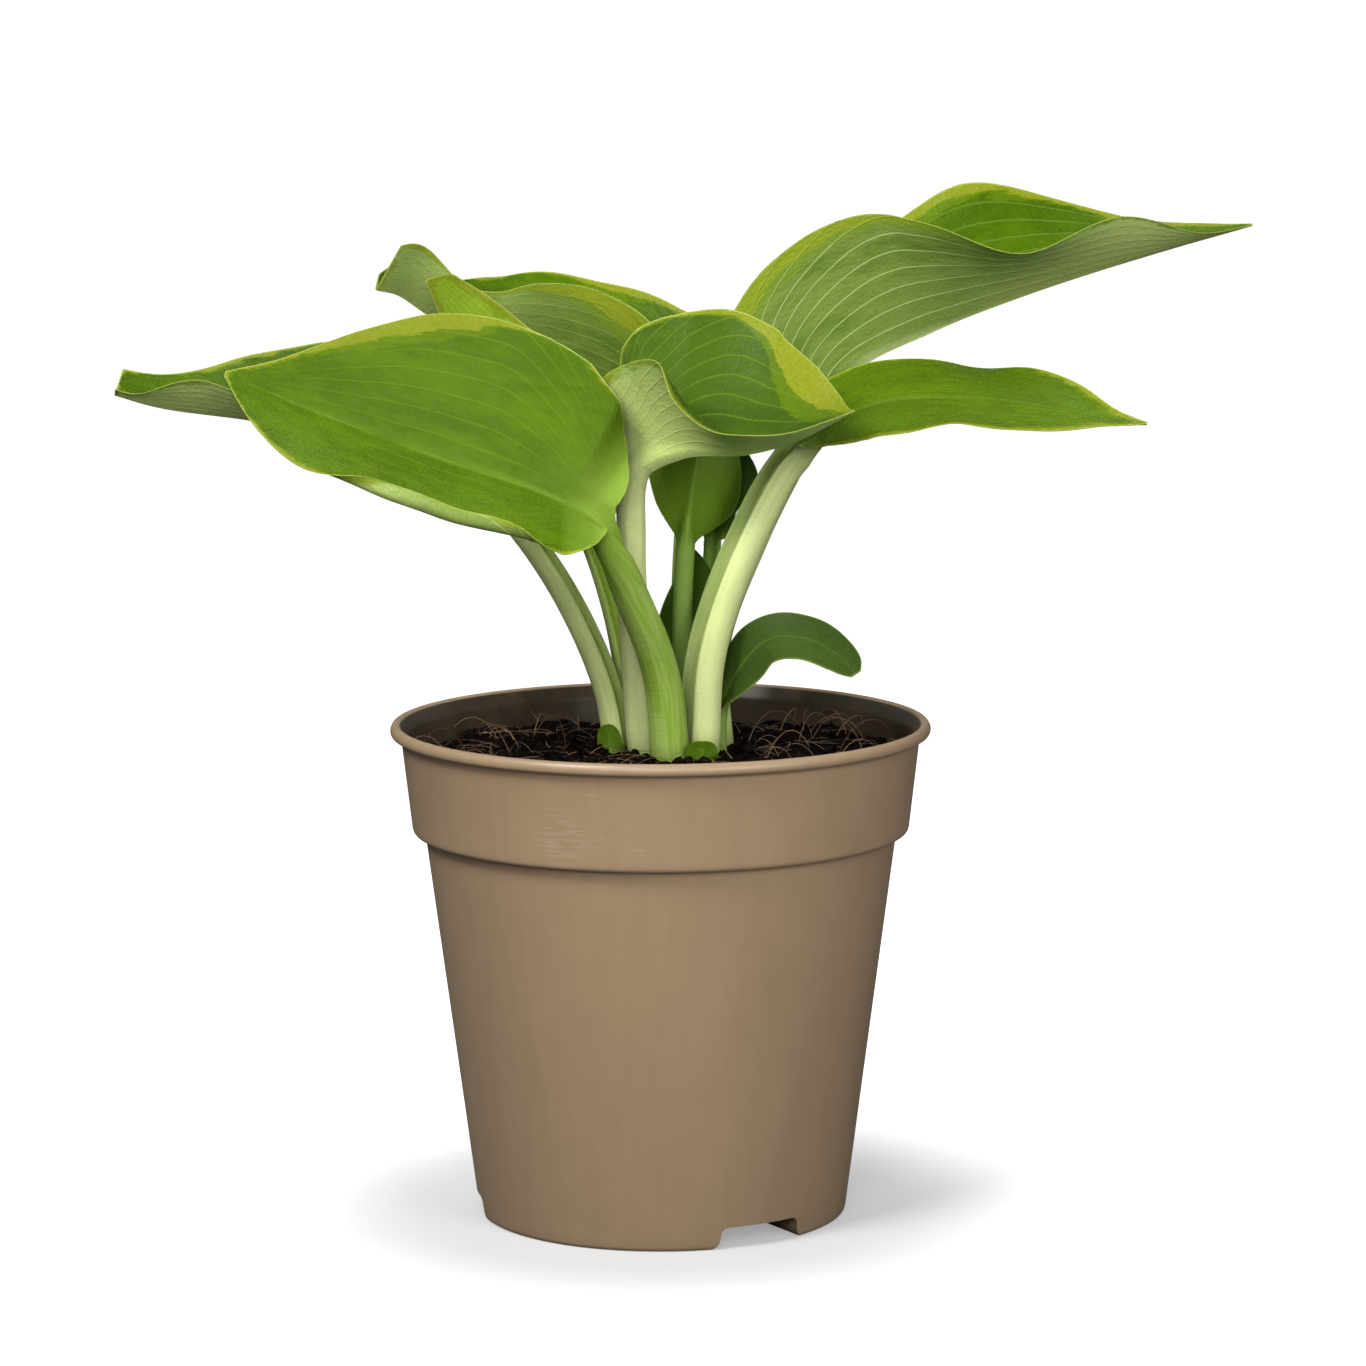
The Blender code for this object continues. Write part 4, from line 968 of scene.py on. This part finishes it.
print("the pot is", round(2 * inner_radius(SOIL_LEVEL), 1), "mm wide inside at the soil")

# %% [markdown]
# The pot has lathe symmetry, so a profile is turned about Z.  Corners in the profile are rounded
# first, as a mould cutter leaves them, because a highlight needs a radius to live on.

# %% Rounding and turning a profile
def rounded(corners, steps=5):
    """A profile with each (radius, height, rounding) corner turned into a small arc."""
    out = []
    for k, (r, z, by) in enumerate(corners):
        here = np.array((r, z))
        if not by or k in (0, len(corners) - 1):
            out.append(here)
            continue
        before, after = np.array(corners[k - 1][:2]), np.array(corners[k + 1][:2])
        a = here + unit(before - here) * min(by, np.linalg.norm(before - here) * .48)
        b = here + unit(after - here) * min(by, np.linalg.norm(after - here) * .48)
        for t in np.linspace(0, 1, steps):
            out.append((1 - t) ** 2 * a + 2 * t * (1 - t) * here + t * t * b)
    return out


def face_outward(piece, merge_within=None):
    """Turn every face outward, after merging points that coincide if that is asked for."""
    work = bmesh.new()
    work.from_mesh(piece.data)
    if merge_within:
        bmesh.ops.remove_doubles(work, verts=work.verts, dist=merge_within * MM)
    bmesh.ops.recalc_face_normals(work, faces=work.faces)
    work.to_mesh(piece.data)
    work.free()


def turn_profile(name, profile, steps):
    """A closed body of revolution about Z."""
    points, faces, n = [], [], len(profile)
    for s in range(steps):
        a = 2 * math.pi * s / steps
        points += [(r * math.cos(a), r * math.sin(a), z) for r, z in profile]
    for s in range(steps):
        t = (s + 1) % steps
        faces += [(s * n + i, t * n + i, t * n + i + 1, s * n + i + 1) for i in range(n - 1)]
    piece = make_piece(name, points, faces)
    face_outward(piece, merge_within=0.01)
    return piece


print("a rounded corner has", len(rounded([(0, 0, 0), (5, 0, 1), (5, 5, 0)])) - 2, "points")

# %% [markdown]
# The profile runs from the middle of the foot out and up the outside, over the rim, and down the
# inside to the middle of the floor.  Each corner is a radius, a height and how much it is rounded.

# %% Turn the pot
POT_STEPS = 180
top, under_collar = POT_HEIGHT, COLLAR_FOOT_Z
outside = [(0, 0, 0), (FOOT_RADIUS, 0, 1.6), (FOOT_RADIUS + .55, 4.2, 0),
           (BODY_TOP_RADIUS, under_collar - .3, .9),
           (BODY_TOP_RADIUS + .6, under_collar + .05, .5),
           (COLLAR_FOOT_RADIUS - .35, under_collar + .1, 1.7),
           (COLLAR_FOOT_RADIUS, under_collar + 3.4, 0),
           (COLLAR_TOP_RADIUS, top - 4.2, 1.1), (RIM_RADIUS - .4, top - 3.5, 1.0),
           (RIM_RADIUS, top - 1.8, .8), (RIM_RADIUS - .9, top, .9)]
inside = [(RIM_RADIUS - 2.8, top, .5), (RIM_RADIUS - 3.6, top - 1.2, .5),
          (inner_radius(top - 4.5), top - 4.5, .8),
          (inner_radius(under_collar + 3.0), under_collar + 3.0, .8),
          (BODY_TOP_RADIUS - WALL, under_collar + .6, .8),
          (inner_radius(FLOOR), FLOOR, 0), (0, FLOOR, 0)]
pot = turn_profile("nursery_pot", rounded(outside + inside), POT_STEPS)
print("pot turned:", len(pot.data.polygons), "faces")

# %% [markdown]
# The channels are cut with bars, each flared at the foot and rounded under its roof.  Inside the
# pot each has a raised housing, so the wall keeps its thickness.  A boolean union adds the
# housings, and boolean differences take out the channels and the drain holes in their roofs.

# %% The tools that cut the channels
CHANNEL_REACH, CUT_TOP = 64, 12
DRAIN_FROM, DRAIN_STEPS = 3, 32


def outward(angle):
    """The level direction at an angle from the front, and the direction to its side."""
    turn = math.radians(angle)
    return (np.array((math.sin(turn), -math.cos(turn), 0)),
            np.array((math.cos(turn), math.sin(turn), 0)))


def bar(name, outline, start, end, angle):
    """A straight bar that lies under the foot and points outward."""
    way, side = outward(angle)
    points = [way * r + side * a + np.array((0, 0, h)) for r in (start, end) for a, h in outline]
    n = len(outline)
    faces = [(i, (i + 1) % n, n + (i + 1) % n, n + i) for i in range(n)]
    faces += [tuple(range(n)), tuple(range(2 * n - 1, n - 1, -1))]
    return make_piece(name, points, faces)


def channel_outline(grow):
    """The channel's section, grown by a wall's thickness for its housing."""
    half, high, flare, curl = CHANNEL_HALF + grow, CHANNEL_HEIGHT + grow, 2.2, 2.4
    right = [(half + flare, -1.0), (half + flare, 0.0), (half + flare * .45, flare * .45),
             (half + flare * .12, flare), (half, flare * 1.6), (half, high - curl),
             (half - curl * .13, high - curl * .5), (half - curl * .5, high - curl * .13),
             (half - curl, high)]
    if grow:
        right = [(half, FLOOR * .5)] + right[5:]
    return right + [(-a, h) for a, h in reversed(right)]


print("a channel's section has", len(channel_outline(0)), "corners")

# %% [markdown]
# All housings go in before any channel comes out, so that no cut meets a half-made wall.  Each
# housing is first trimmed to the taper of the body.

# %% Cut the drainage channels
def cut(piece, tool, operation):
    """One boolean, after which the tool is gone."""
    face_outward(tool)
    change = piece.modifiers.new("cut", "BOOLEAN")
    change.operation, change.object, change.solver = operation, tool, "EXACT"
    bpy.context.view_layer.update()
    mesh = bpy.data.meshes.new_from_object(
        piece.evaluated_get(bpy.context.evaluated_depsgraph_get()))
    piece.modifiers.clear()
    piece.data = mesh
    bpy.data.objects.remove(tool, do_unlink=True)


for angle in CHANNEL_ANGLES:
    housing = bar("housing", channel_outline(WALL), CHANNEL_INNER - WALL, CHANNEL_REACH, angle)
    limit = turn_profile("limit", [(0, 0), (FOOT_RADIUS - .7, 0), (FOOT_RADIUS + .7, CUT_TOP),
                                   (0, CUT_TOP)], POT_STEPS)
    cut(housing, limit, "INTERSECT")
    cut(pot, housing, "UNION")
for angle in CHANNEL_ANGLES:
    cut(pot, bar("channel", channel_outline(0), CHANNEL_INNER, CHANNEL_REACH, angle),
        "DIFFERENCE")
    for radius in DRAIN_PLACES:
        hole = turn_profile("hole", [(0, DRAIN_FROM), (DRAIN_RADIUS, DRAIN_FROM),
                                     (DRAIN_RADIUS, CUT_TOP), (0, CUT_TOP)], DRAIN_STEPS)
        hole.data.transform(Matrix.Translation(outward(angle)[0] * radius * MM))
        cut(pot, hole, "DIFFERENCE")
pot.data.shade_smooth()
pot.data.set_sharp_from_angle(angle=math.radians(34))
print("pot finished:", len(pot.data.polygons), "faces")

# %% [markdown]
# ## The pot's finish
# Satin taupe polypropylene: one even roughness, fine mould grain, and faint upright streaks where
# the melt flowed.  Pots rub together in stacks, which leaves short pale scuffs round the collar,
# and one patch is rubbed harder.  They could be painted on, but scratches are level and streaks
# upright, so noise that is stretched the right way gives both.

# %% The pot's streaks and scuffs
RUBBED_AT = (-0.030, -0.073, 0.132)
pot_material, tree, shader = new_material("taupe pot plastic")
place = own_place(tree)
cloud = use(tree, mottle, Place=place, Scale=22.0, Contrast=1.6)["Value"]
streaks = cloudy(tree, stretched(tree, place, (1.0, 1.0, 0.04)), 260.0, 3.0)
scratch = cloudy(tree, stretched(tree, place, (1.0, 1.0, 9.0)), 120.0, 4.0)
patches = cloudy(tree, place, 30.0, 1.0)
height = apart(tree, place)[2]
on_collar = calc(tree, "MULTIPLY", spread(tree, height, 0.124, 0.128),
                 spread(tree, height, 0.150, 0.154, 1.0, 0.0))
scuff = calc(tree, "MULTIPLY", spread(tree, scratch, 0.62, 0.70),
             spread(tree, patches, 0.52, 0.64))
scuff = calc(tree, "MULTIPLY", scuff, on_collar)
from_rub = add(tree, "ShaderNodeVectorMath", {0: place, 1: RUBBED_AT}, operation="DISTANCE")
rubbed = calc(tree, "MULTIPLY", spread(tree, from_rub.outputs["Value"], 0.004, 0.013, 1.0, 0.0),
              spread(tree, scratch, 0.46, 0.56))
scuff = calc(tree, "MAXIMUM", scuff, rubbed)
print("pot masks:", len(tree.nodes), "nodes")

# %% [markdown]
# Streaks and scuffs only shift the two taupes a little.  The whole inner surface is painted almost
# black as shade, because the inside of the pot lies in shadow, and a second mottle keeps it uneven.

# %% The pot's colour, sheen and tooth
TAUPE_DEEP, TAUPE_LIGHT = (0.262, 0.180, 0.106, 1), (0.298, 0.207, 0.123, 1)
STREAK_TAUPE, SCUFF_TAUPE = (0.222, 0.152, 0.089, 1), (0.42, 0.34, 0.26, 1)
INSIDE_SHADE = (0.022, 0.016, 0.009, 1)
plastic = blend(tree, cloud, TAUPE_DEEP, TAUPE_LIGHT)
plastic = blend(tree, spread(tree, streaks, 0.35, 0.7, 0.0, 0.22), plastic, STREAK_TAUPE)
plastic = blend(tree, calc(tree, "MULTIPLY", scuff, 0.20), plastic, SCUFF_TAUPE)
# Painted shade: the inner surface is blended almost to black, a little unevenly.
shade_blotches = use(tree, mottle, Place=place, Scale=90.0, Contrast=2.0)["Value"]
inside_shade = calc(tree, "MULTIPLY", read(tree, "pot_inside", "Fac"),
            spread(tree, shade_blotches, 0.2, 0.8, 0.91, 0.98))
tree.links.new(blend(tree, inside_shade, plastic, INSIDE_SHADE), shader.inputs["Base Color"])
shader.inputs["Roughness"].default_value = 0.38
shader.inputs["IOR"].default_value = 1.49
tooth = calc(tree, "ADD", use(tree, grain, Place=place, Scale=1500.0)["Height"],
             calc(tree, "MULTIPLY", streaks, 0.5))
relieve(tree, shader, tooth, 0.22, 0.0002)
print("pot material:", len(tree.nodes), "nodes")

# %% [markdown]
# Which points are inside is a matter of radius.  At each height, a point nearer the axis than
# the middle of the wall belongs to the inner surface, which gets the painted shade.

# %% Mark the inside of the pot
inside_share = []
for v in pot.data.vertices:
    radius, z = math.hypot(v.co.x, v.co.y) / MM, v.co.z / MM
    wall_middle = max(inner_radius(z) + .6, RIM_RADIUS - 3.2 if z > POT_HEIGHT - 3 else 0)
    inside_share.append(1.0 if z > 3 and radius < wall_middle else 0.0)
mark(pot, "pot_inside", inside_share)
dress(pot, pot_material)
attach(pot, "root")
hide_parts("pot")
print("points inside the pot:", int(sum(inside_share)), "of", len(inside_share))

# %% [markdown]
# ## Potting mix
# The mix is coir and composted bark: almost black when moist, with crumbs of every size, chips
# of bark and long tan fibres.  One displaced sheet would look like mud, so it is built in
# layers: a lumpy bed, hundreds of loose crumbs and chips, and fibres strewn over them.

# %% Soil materials
SOIL_BLACK, SOIL_DARK = (0.002, 0.001, 0.001, 1), (0.005, 0.003, 0.002, 1)
SOIL_BROWN, BARK_DARK = (0.020, 0.012, 0.006, 1), (0.008, 0.005, 0.003, 1)
BARK_BROWN = (0.040, 0.024, 0.013, 1)


def soil_material(name, dark, mid, light, scale):
    """A matt crumbly finish that is mottled dark and mid, with light flecks."""
    made, tree, shader = new_material(name)
    place = own_place(tree)
    tint = use(tree, mottle, Place=place, Scale=scale, Contrast=2.6)["Value"]
    fleck = cloudy(tree, place, scale * 7, 2.0)
    colour = blend(tree, spread(tree, tint, 0.25, 0.8), dark, mid)
    colour = blend(tree, spread(tree, fleck, 0.60, 0.72, 0.0, 0.7), colour, light)
    tree.links.new(colour, shader.inputs["Base Color"])
    tree.links.new(calc(tree, "ADD", calc(tree, "MULTIPLY", tint, 0.2), 0.7),
                   shader.inputs["Roughness"])
    shader.inputs["Specular IOR Level"].default_value = 0.02
    relieve(tree, shader, use(tree, grain, Place=place, Scale=scale * 6)["Height"], 0.9, 0.0009)
    return made


bed_material = soil_material("potting mix", SOIL_BLACK, SOIL_DARK, SOIL_BROWN, 160.0)
crumb_material = soil_material("bark crumbs", SOIL_BLACK, BARK_DARK, BARK_BROWN, 220.0)
dress(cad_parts["soil"], bed_material)
print("soil materials:", bed_material.name, "and", crumb_material.name)

# %% [markdown]
# The bed is a round sheet that follows the wall and is closed underneath.  Its height is a
# formula, so that crumbs and fibres can be set down on it later: broad lumps, small crumbs, a
# heap in front of the stalks and a gentler one round them.

# %% The lumpy bed
BED_RINGS, BED_STEPS, BED_UNDER_Z = 64, 220, 138
bed_edge = inner_radius(SOIL_LEVEL) - .4
ring_turns = [2 * math.pi * s / BED_STEPS for s in range(BED_STEPS)]


def bed_height(x, y):
    """How high the mix lies at a place."""
    z = SOIL_LEVEL + .9 + noise.fractal(Vector((x, y, 3)) / 17, 1.0, 2.0, 3) * 2.2
    z += noise.fractal(Vector((x, y, 9)) / 4.2, .8, 2.1, 4) * 1.3
    z += 2.6 * math.exp(-(((x + 8) / 16) ** 2 + ((y + 30) / 13) ** 2))
    z += 1.6 * math.exp(-(((x - 2) / 30) ** 2 + ((y - 13) / 34) ** 2))
    return z


def bed_corner(ring, s):
    """Which point of the bed is number s of a ring.  Point 0 is the middle."""
    return 1 + (ring - 1) * BED_STEPS + s % BED_STEPS


points = [(0, 0, bed_height(0, 0))]
for ring in range(1, BED_RINGS + 1):
    radius = bed_edge * ring / BED_RINGS
    for turn in ring_turns:
        x, y = radius * math.cos(turn), radius * math.sin(turn)
        points.append((x, y, bed_height(x, y)))
low = bed_edge - .6
points += [(low * math.cos(turn), low * math.sin(turn), BED_UNDER_Z) for turn in ring_turns]
points.append((0, 0, BED_UNDER_Z))
faces = [(0, bed_corner(1, s), bed_corner(1, s + 1)) for s in range(BED_STEPS)]
for ring in range(1, BED_RINGS + 1):
    faces += [(bed_corner(ring, s), bed_corner(ring + 1, s), bed_corner(ring + 1, s + 1),
               bed_corner(ring, s + 1)) for s in range(BED_STEPS)]
faces += [(len(points) - 1, bed_corner(BED_RINGS + 1, s + 1), bed_corner(BED_RINGS + 1, s))
          for s in range(BED_STEPS)]
bed = make_piece("soil_bed", points, faces, bed_material, 80)
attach(bed, "root")
print("soil bed:", len(faces), "faces")

# %% [markdown]
# Crumbs are small icospheres pulled out of round by noise, and chips are the same shape pressed
# flat and stretched.  Each is sunk a little into the bed.  They are joined into one piece, since
# nobody will ever pick one out.

# %% Crumbs and chips
CRUMB_COUNT, CHIP_SHARE, LARGEST_CRUMB = 1050, .25, 2.8
CRUMB_STRETCH, CHIP_STRETCH = (1.0, .85, .7), (1.7, .8, .35)
pick = random.Random(7)


def scatter_spot(limit=bed_edge - 2.0):
    """A random place on the bed."""
    radius, turn = limit * math.sqrt(pick.random()), pick.uniform(0, 2 * math.pi)
    return radius * math.cos(turn), radius * math.sin(turn)


ball = bmesh.new()
bmesh.ops.create_icosphere(ball, subdivisions=2, radius=1.0)
ball_points = np.array([v.co[:] for v in ball.verts])
ball_faces = [tuple(v.index for v in f.verts) for f in ball.faces]
ball.free()
points, faces = [], []
for k in range(CRUMB_COUNT):
    x, y = scatter_spot()
    size = min(LARGEST_CRUMB, .5 + pick.expovariate(1.5))
    chip = pick.random() < CHIP_SHARE
    turn = Matrix.Rotation(pick.uniform(0, 6.3), 3, "Z") @ Matrix.Rotation(
        pick.uniform(-.7, .7), 3, "X")
    jag = np.array([noise.noise(Vector(p) * 1.6 + Vector((k, 0, 0))) for p in ball_points])
    shape = ball_points * (1 + .75 * jag[:, None]) * (
        np.array(CHIP_STRETCH if chip else CRUMB_STRETCH) * size)
    shape = shape @ np.array(turn).T + (x, y, bed_height(x, y) + size * .25)
    faces += [tuple(i + len(points) * len(ball_points) for i in f) for f in ball_faces]
    points.append(shape)
crumbs = make_piece("soil_crumbs", np.vstack(points), faces, crumb_material, 70)
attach(crumbs, "root")
print("crumbs:", len(points), "with", len(faces), "faces")

# %% [markdown]
# Coir fibres are thin, springy and tan.  Each is a tapering tube along a gently curved path.
# Most lie flat, and some stand up out of the mix and arch back, which is what catches the eye
# against the dark soil.  A path climbs less and less as it goes, and the wall turns it inward.

# %% The path and the tube of a fibre
PATH_STEPS, TUBE_SIDES, WALL_GAP = 11, 5, 1.5
tube_turns = [2 * math.pi * s / TUBE_SIDES for s in range(TUBE_SIDES)]


def fibre_path(start, heading, climb, long, bend):
    """Points along a fibre that starts at a place, climbs, arches back and stays in the pot."""
    path, here = [], np.array(start, float)
    for k in range(PATH_STEPS + 1):
        path.append(here.copy())
        heading += bend * (1 + .4 * math.sin(k))
        rise = climb * (1 - 1.7 * k / PATH_STEPS)
        step = np.array((math.cos(heading), math.sin(heading), rise))
        here = here + unit(step) * long / PATH_STEPS
        radius, limit = math.hypot(here[0], here[1]), inner_radius(here[2]) - WALL_GAP
        if radius > limit and here[2] < POT_HEIGHT + 2:
            here[:2] *= limit / radius
    return np.array(path)


def add_tube(points, faces, path, thin):
    """Add a tube that follows a path, thinner towards its end and closed at both."""
    first = len(points)
    for i, here in enumerate(path):
        ahead = unit(path[min(i + 1, PATH_STEPS)] - path[max(i - 1, 0)])
        side = unit(np.cross(ahead, (0.1, 0.2, 1)))
        up = np.cross(side, ahead)
        radius = thin * (1 - .6 * i / PATH_STEPS)
        points += [here + (side * math.cos(a) + up * math.sin(a)) * radius for a in tube_turns]
    for low in range(first, len(points) - TUBE_SIDES, TUBE_SIDES):
        for s in range(TUBE_SIDES):
            t = (s + 1) % TUBE_SIDES
            faces.append((low + s, low + t, low + TUBE_SIDES + t, low + TUBE_SIDES + s))
    faces.append(tuple(first + s for s in reversed(range(TUBE_SIDES))))
    faces.append(tuple(range(len(points) - TUBE_SIDES, len(points))))


print("a fibre has", (PATH_STEPS + 1) * TUBE_SIDES, "points")

# %% [markdown]
# The fibres' colour runs from brown to straw, one shade to a fibre.  Those that stand have dried
# out and are mostly straw, and those that lie in the mix are mostly brown.  A few tall ones are
# set where they are seen between the stalks, and the rest fall anywhere.

# %% Strew the coir fibres
FIBRE_COUNT, STANDING_COUNT, TALL_CLIMB = 380, 74, 2.4
TALL_FIBRES = ((-66, -8, 20), (-60, -2, 26), (-47, 4, 24), (-45, 22, 18), (-30, 18, 30),
               (-52, -22, 22), (27, 10, 28), (33, -6, 24), (56, 8, 26), (64, 14, 24),
               (60, -12, 20), (44, 24, 22), (70, -2, 18), (50, -24, 20))
points, faces, shades = [], [], []
for k in range(FIBRE_COUNT):
    x, y = TALL_FIBRES[k][:2] if k < len(TALL_FIBRES) else scatter_spot()
    standing = k < STANDING_COUNT
    climb = pick.uniform(.5, 2.2) if standing else pick.uniform(-.02, .25)
    long = pick.uniform(9, 22) if standing else pick.uniform(4, 18)
    if k < len(TALL_FIBRES):
        climb, long = TALL_CLIMB, TALL_FIBRES[k][2]
    path = fibre_path((x, y, bed_height(x, y) + (.0 if standing else .7)),
                      pick.uniform(0, 6.3), climb, long, pick.uniform(-.09, .09))
    if not standing:
        path[:, 2] = [max(z, bed_height(px, py) + .25) for px, py, z in path]
    thin, shade = pick.uniform(.10, .22), pick.random() ** (.8 if standing else 3.0)
    add_tube(points, faces, path, thin)
    shades += [shade] * (len(points) - len(shades))
print("fibres:", FIBRE_COUNT, "with", len(faces), "faces")

# %% [markdown]
# A fibre is matt.  Blotches where it is rubbed clean are blended towards a mid tan, which also
# paints in a slight sheen.

# %% The fibres' finish
FIBRE_BROWN, FIBRE_STRAW = (0.006, 0.004, 0.002, 1), (0.210, 0.115, 0.052, 1)
FIBRE_RUBBED_SHEEN = (0.10, 0.055, 0.028, 1)
fibre_material, tree, shader = new_material("coir fibre")
colour = blend(tree, read(tree, "fibre_shade", "Fac"), FIBRE_BROWN, FIBRE_STRAW)
rub_and_sheen = use(tree, mottle, Place=own_place(tree), Scale=400.0, Contrast=2.0)["Value"]
# Rubbing and a painted sheen: blotches of the fibre's colour are blended towards a mid tan.
colour = blend(tree, calc(tree, "MULTIPLY", rub_and_sheen, 0.4), colour, FIBRE_RUBBED_SHEEN)
tree.links.new(colour, shader.inputs["Base Color"])
tree.links.new(calc(tree, "ADD", calc(tree, "MULTIPLY", rub_and_sheen, 0.2), 0.5),
               shader.inputs["Roughness"])
fibres = make_piece("coir_fibres", points, faces, fibre_material, 80)
mark(fibres, "fibre_shade", shades)
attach(fibres, "root")
print("fibre material:", len(tree.nodes), "nodes")

# %% [markdown]
# The crown, the short root stock under the stalks, is hidden by the mix.  It keeps its solid
# shape and gets a fibrous greenish skin, so nothing bare shows if the mix is looked into.

# %% The crown's skin
CROWN_BROWN, CROWN_GREEN = (0.10, 0.075, 0.030, 1), (0.28, 0.30, 0.12, 1)
crown_material, tree, shader = new_material("crown skin")
place = own_place(tree)
tint = use(tree, mottle, Place=place, Scale=140.0, Contrast=2.2)["Value"]
tree.links.new(blend(tree, tint, CROWN_BROWN, CROWN_GREEN), shader.inputs["Base Color"])
tree.links.new(spread(tree, tint, 0.0, 1.0, 0.55, 0.8), shader.inputs["Roughness"])
relieve(tree, shader, use(tree, grain, Place=place, Scale=900.0)["Height"], 0.6, 0.0005)
dress(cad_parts["crown"], crown_material)
print("crown material:", len(tree.nodes), "nodes")

# %% [markdown]
# ## Setting: floor, light and camera
# The plant stands on a pale floor in a bright studio.  The floor burns out to white a little way
# from the pot, as in a plant catalogue, but it must not flood the plant with light from below.
# So it is white only when looked at directly, and lights the plant weakly.

# %% The floor
HALF_WIDE, NEAR, FAR = 9000, -4000, 20000
PAPER_DARK, PAPER_LIGHT = (0.44, 0.44, 0.44, 1), (0.46, 0.46, 0.46, 1)
PAPER_UNSEEN = (0.12, 0.12, 0.12, 1)
floor_material, tree, shader = new_material("pale floor")
place = own_place(tree)
paper = use(tree, mottle, Place=place, Scale=3.0, Contrast=0.3)["Value"]
looked_at = add(tree, "ShaderNodeLightPath").outputs["Is Camera Ray"]
tree.links.new(blend(tree, looked_at, PAPER_UNSEEN, blend(tree, paper, PAPER_DARK, PAPER_LIGHT)),
               shader.inputs["Base Color"])
shader.inputs["Roughness"].default_value = 1.0
shader.inputs["Specular IOR Level"].default_value = 0.0
shader.inputs["Emission Color"].default_value = (1, 1, 1, 1)
from_pot = add(tree, "ShaderNodeVectorMath", {0: place}, operation="LENGTH").outputs["Value"]
glow = spread(tree, from_pot, 0.07, 0.165, 0.32, 1.0)
tree.links.new(calc(tree, "MULTIPLY", looked_at, glow), shader.inputs["Emission Strength"])
floor = make_piece("studio_floor", [(-HALF_WIDE, NEAR, 0), (HALF_WIDE, NEAR, 0),
                                    (HALF_WIDE, FAR, 0), (-HALF_WIDE, FAR, 0)],
                   [(0, 1, 2, 3)], floor_material)
print("floor laid:", 2 * HALF_WIDE * MM, "m wide")

# %% [markdown]
# The surround is treated the same way: burnt out to white where it is looked at, and dim as a
# light, because real studio walls stand far from the plant.

# %% The surround
SURROUND_LIGHT, SURROUND_LOOK = 0.17, 1.1
world = bpy.data.worlds.new("white surround")
scene.world = world
world.use_nodes = True
tree = world.node_tree
backdrop = tree.nodes["Background"]
backdrop.inputs["Color"].default_value = (1, 1, 1, 1)
looked_at = add(tree, "ShaderNodeLightPath").outputs["Is Camera Ray"]
tree.links.new(spread(tree, looked_at, 0.0, 1.0, SURROUND_LIGHT, SURROUND_LOOK),
               backdrop.inputs["Strength"])
print("surround:", len(tree.nodes), "nodes")

# %% [markdown]
# Two softboxes stand in front, the stronger one on the left, a third fills in beside the
# camera, and a fourth hangs behind.  The front ones have honeycomb grids and are aimed at the
# leaves, so their light falls off down the pot.

# %% Lights
AIM = (0, 0, 0.30)


def softbox(name, turn, lift, away, size, watts, beam=150):
    """A square of light that faces the plant, turned to the right of the front, in degrees."""
    light = bpy.data.lights.new(name, "AREA")
    light.shape, light.size, light.energy = "SQUARE", size, watts
    light.spread = math.radians(beam)
    made = bpy.data.objects.new(name, light)
    made.matrix_world = (Matrix.Translation(AIM)
                         @ Matrix.Rotation(math.radians(turn), 4, "Z")
                         @ Matrix.Rotation(math.radians(90 - lift), 4, "X")
                         @ Matrix.Translation((0, 0, away)))
    scene.collection.objects.link(made)


softbox("softbox_left", turn=-42, lift=40, away=1.00, size=0.40, watts=1.9, beam=64)
softbox("softbox_right", turn=36, lift=12, away=1.00, size=0.60, watts=1.25, beam=64)
softbox("softbox_front", turn=-6, lift=14, away=1.15, size=0.45, watts=1.05, beam=64)
softbox("softbox_back", turn=165, lift=66, away=1.00, size=0.70, watts=3.0)

# %% [markdown]
# The camera stands 1.65 m in front, a little above the leaves, and looks slightly down through a
# long lens, so that the pot's sides hardly converge.

# %% Camera
CAMERA_PLACE, CAMERA_LENS = (0.0, -1.6505, 0.4174), 140.1
CAMERA_TURN, CAMERA_TILT, CAMERA_ROLL = 0.247, 8.574, -0.186
lens = bpy.data.cameras.new("camera")
lens.lens, lens.sensor_width, lens.clip_start, lens.clip_end = CAMERA_LENS, 36, .05, 60
camera = bpy.data.objects.new("camera", lens)
camera.matrix_world = (Matrix.Translation(CAMERA_PLACE)
                       @ Matrix.Rotation(math.radians(-CAMERA_TURN), 4, "Z")
                       @ Matrix.Rotation(math.radians(90 - CAMERA_TILT), 4, "X")
                       @ Matrix.Rotation(math.radians(CAMERA_ROLL), 4, "Z"))
scene.collection.objects.link(camera)
scene.camera = camera
print("camera at", CAMERA_PLACE, "with a", CAMERA_LENS, "mm lens")
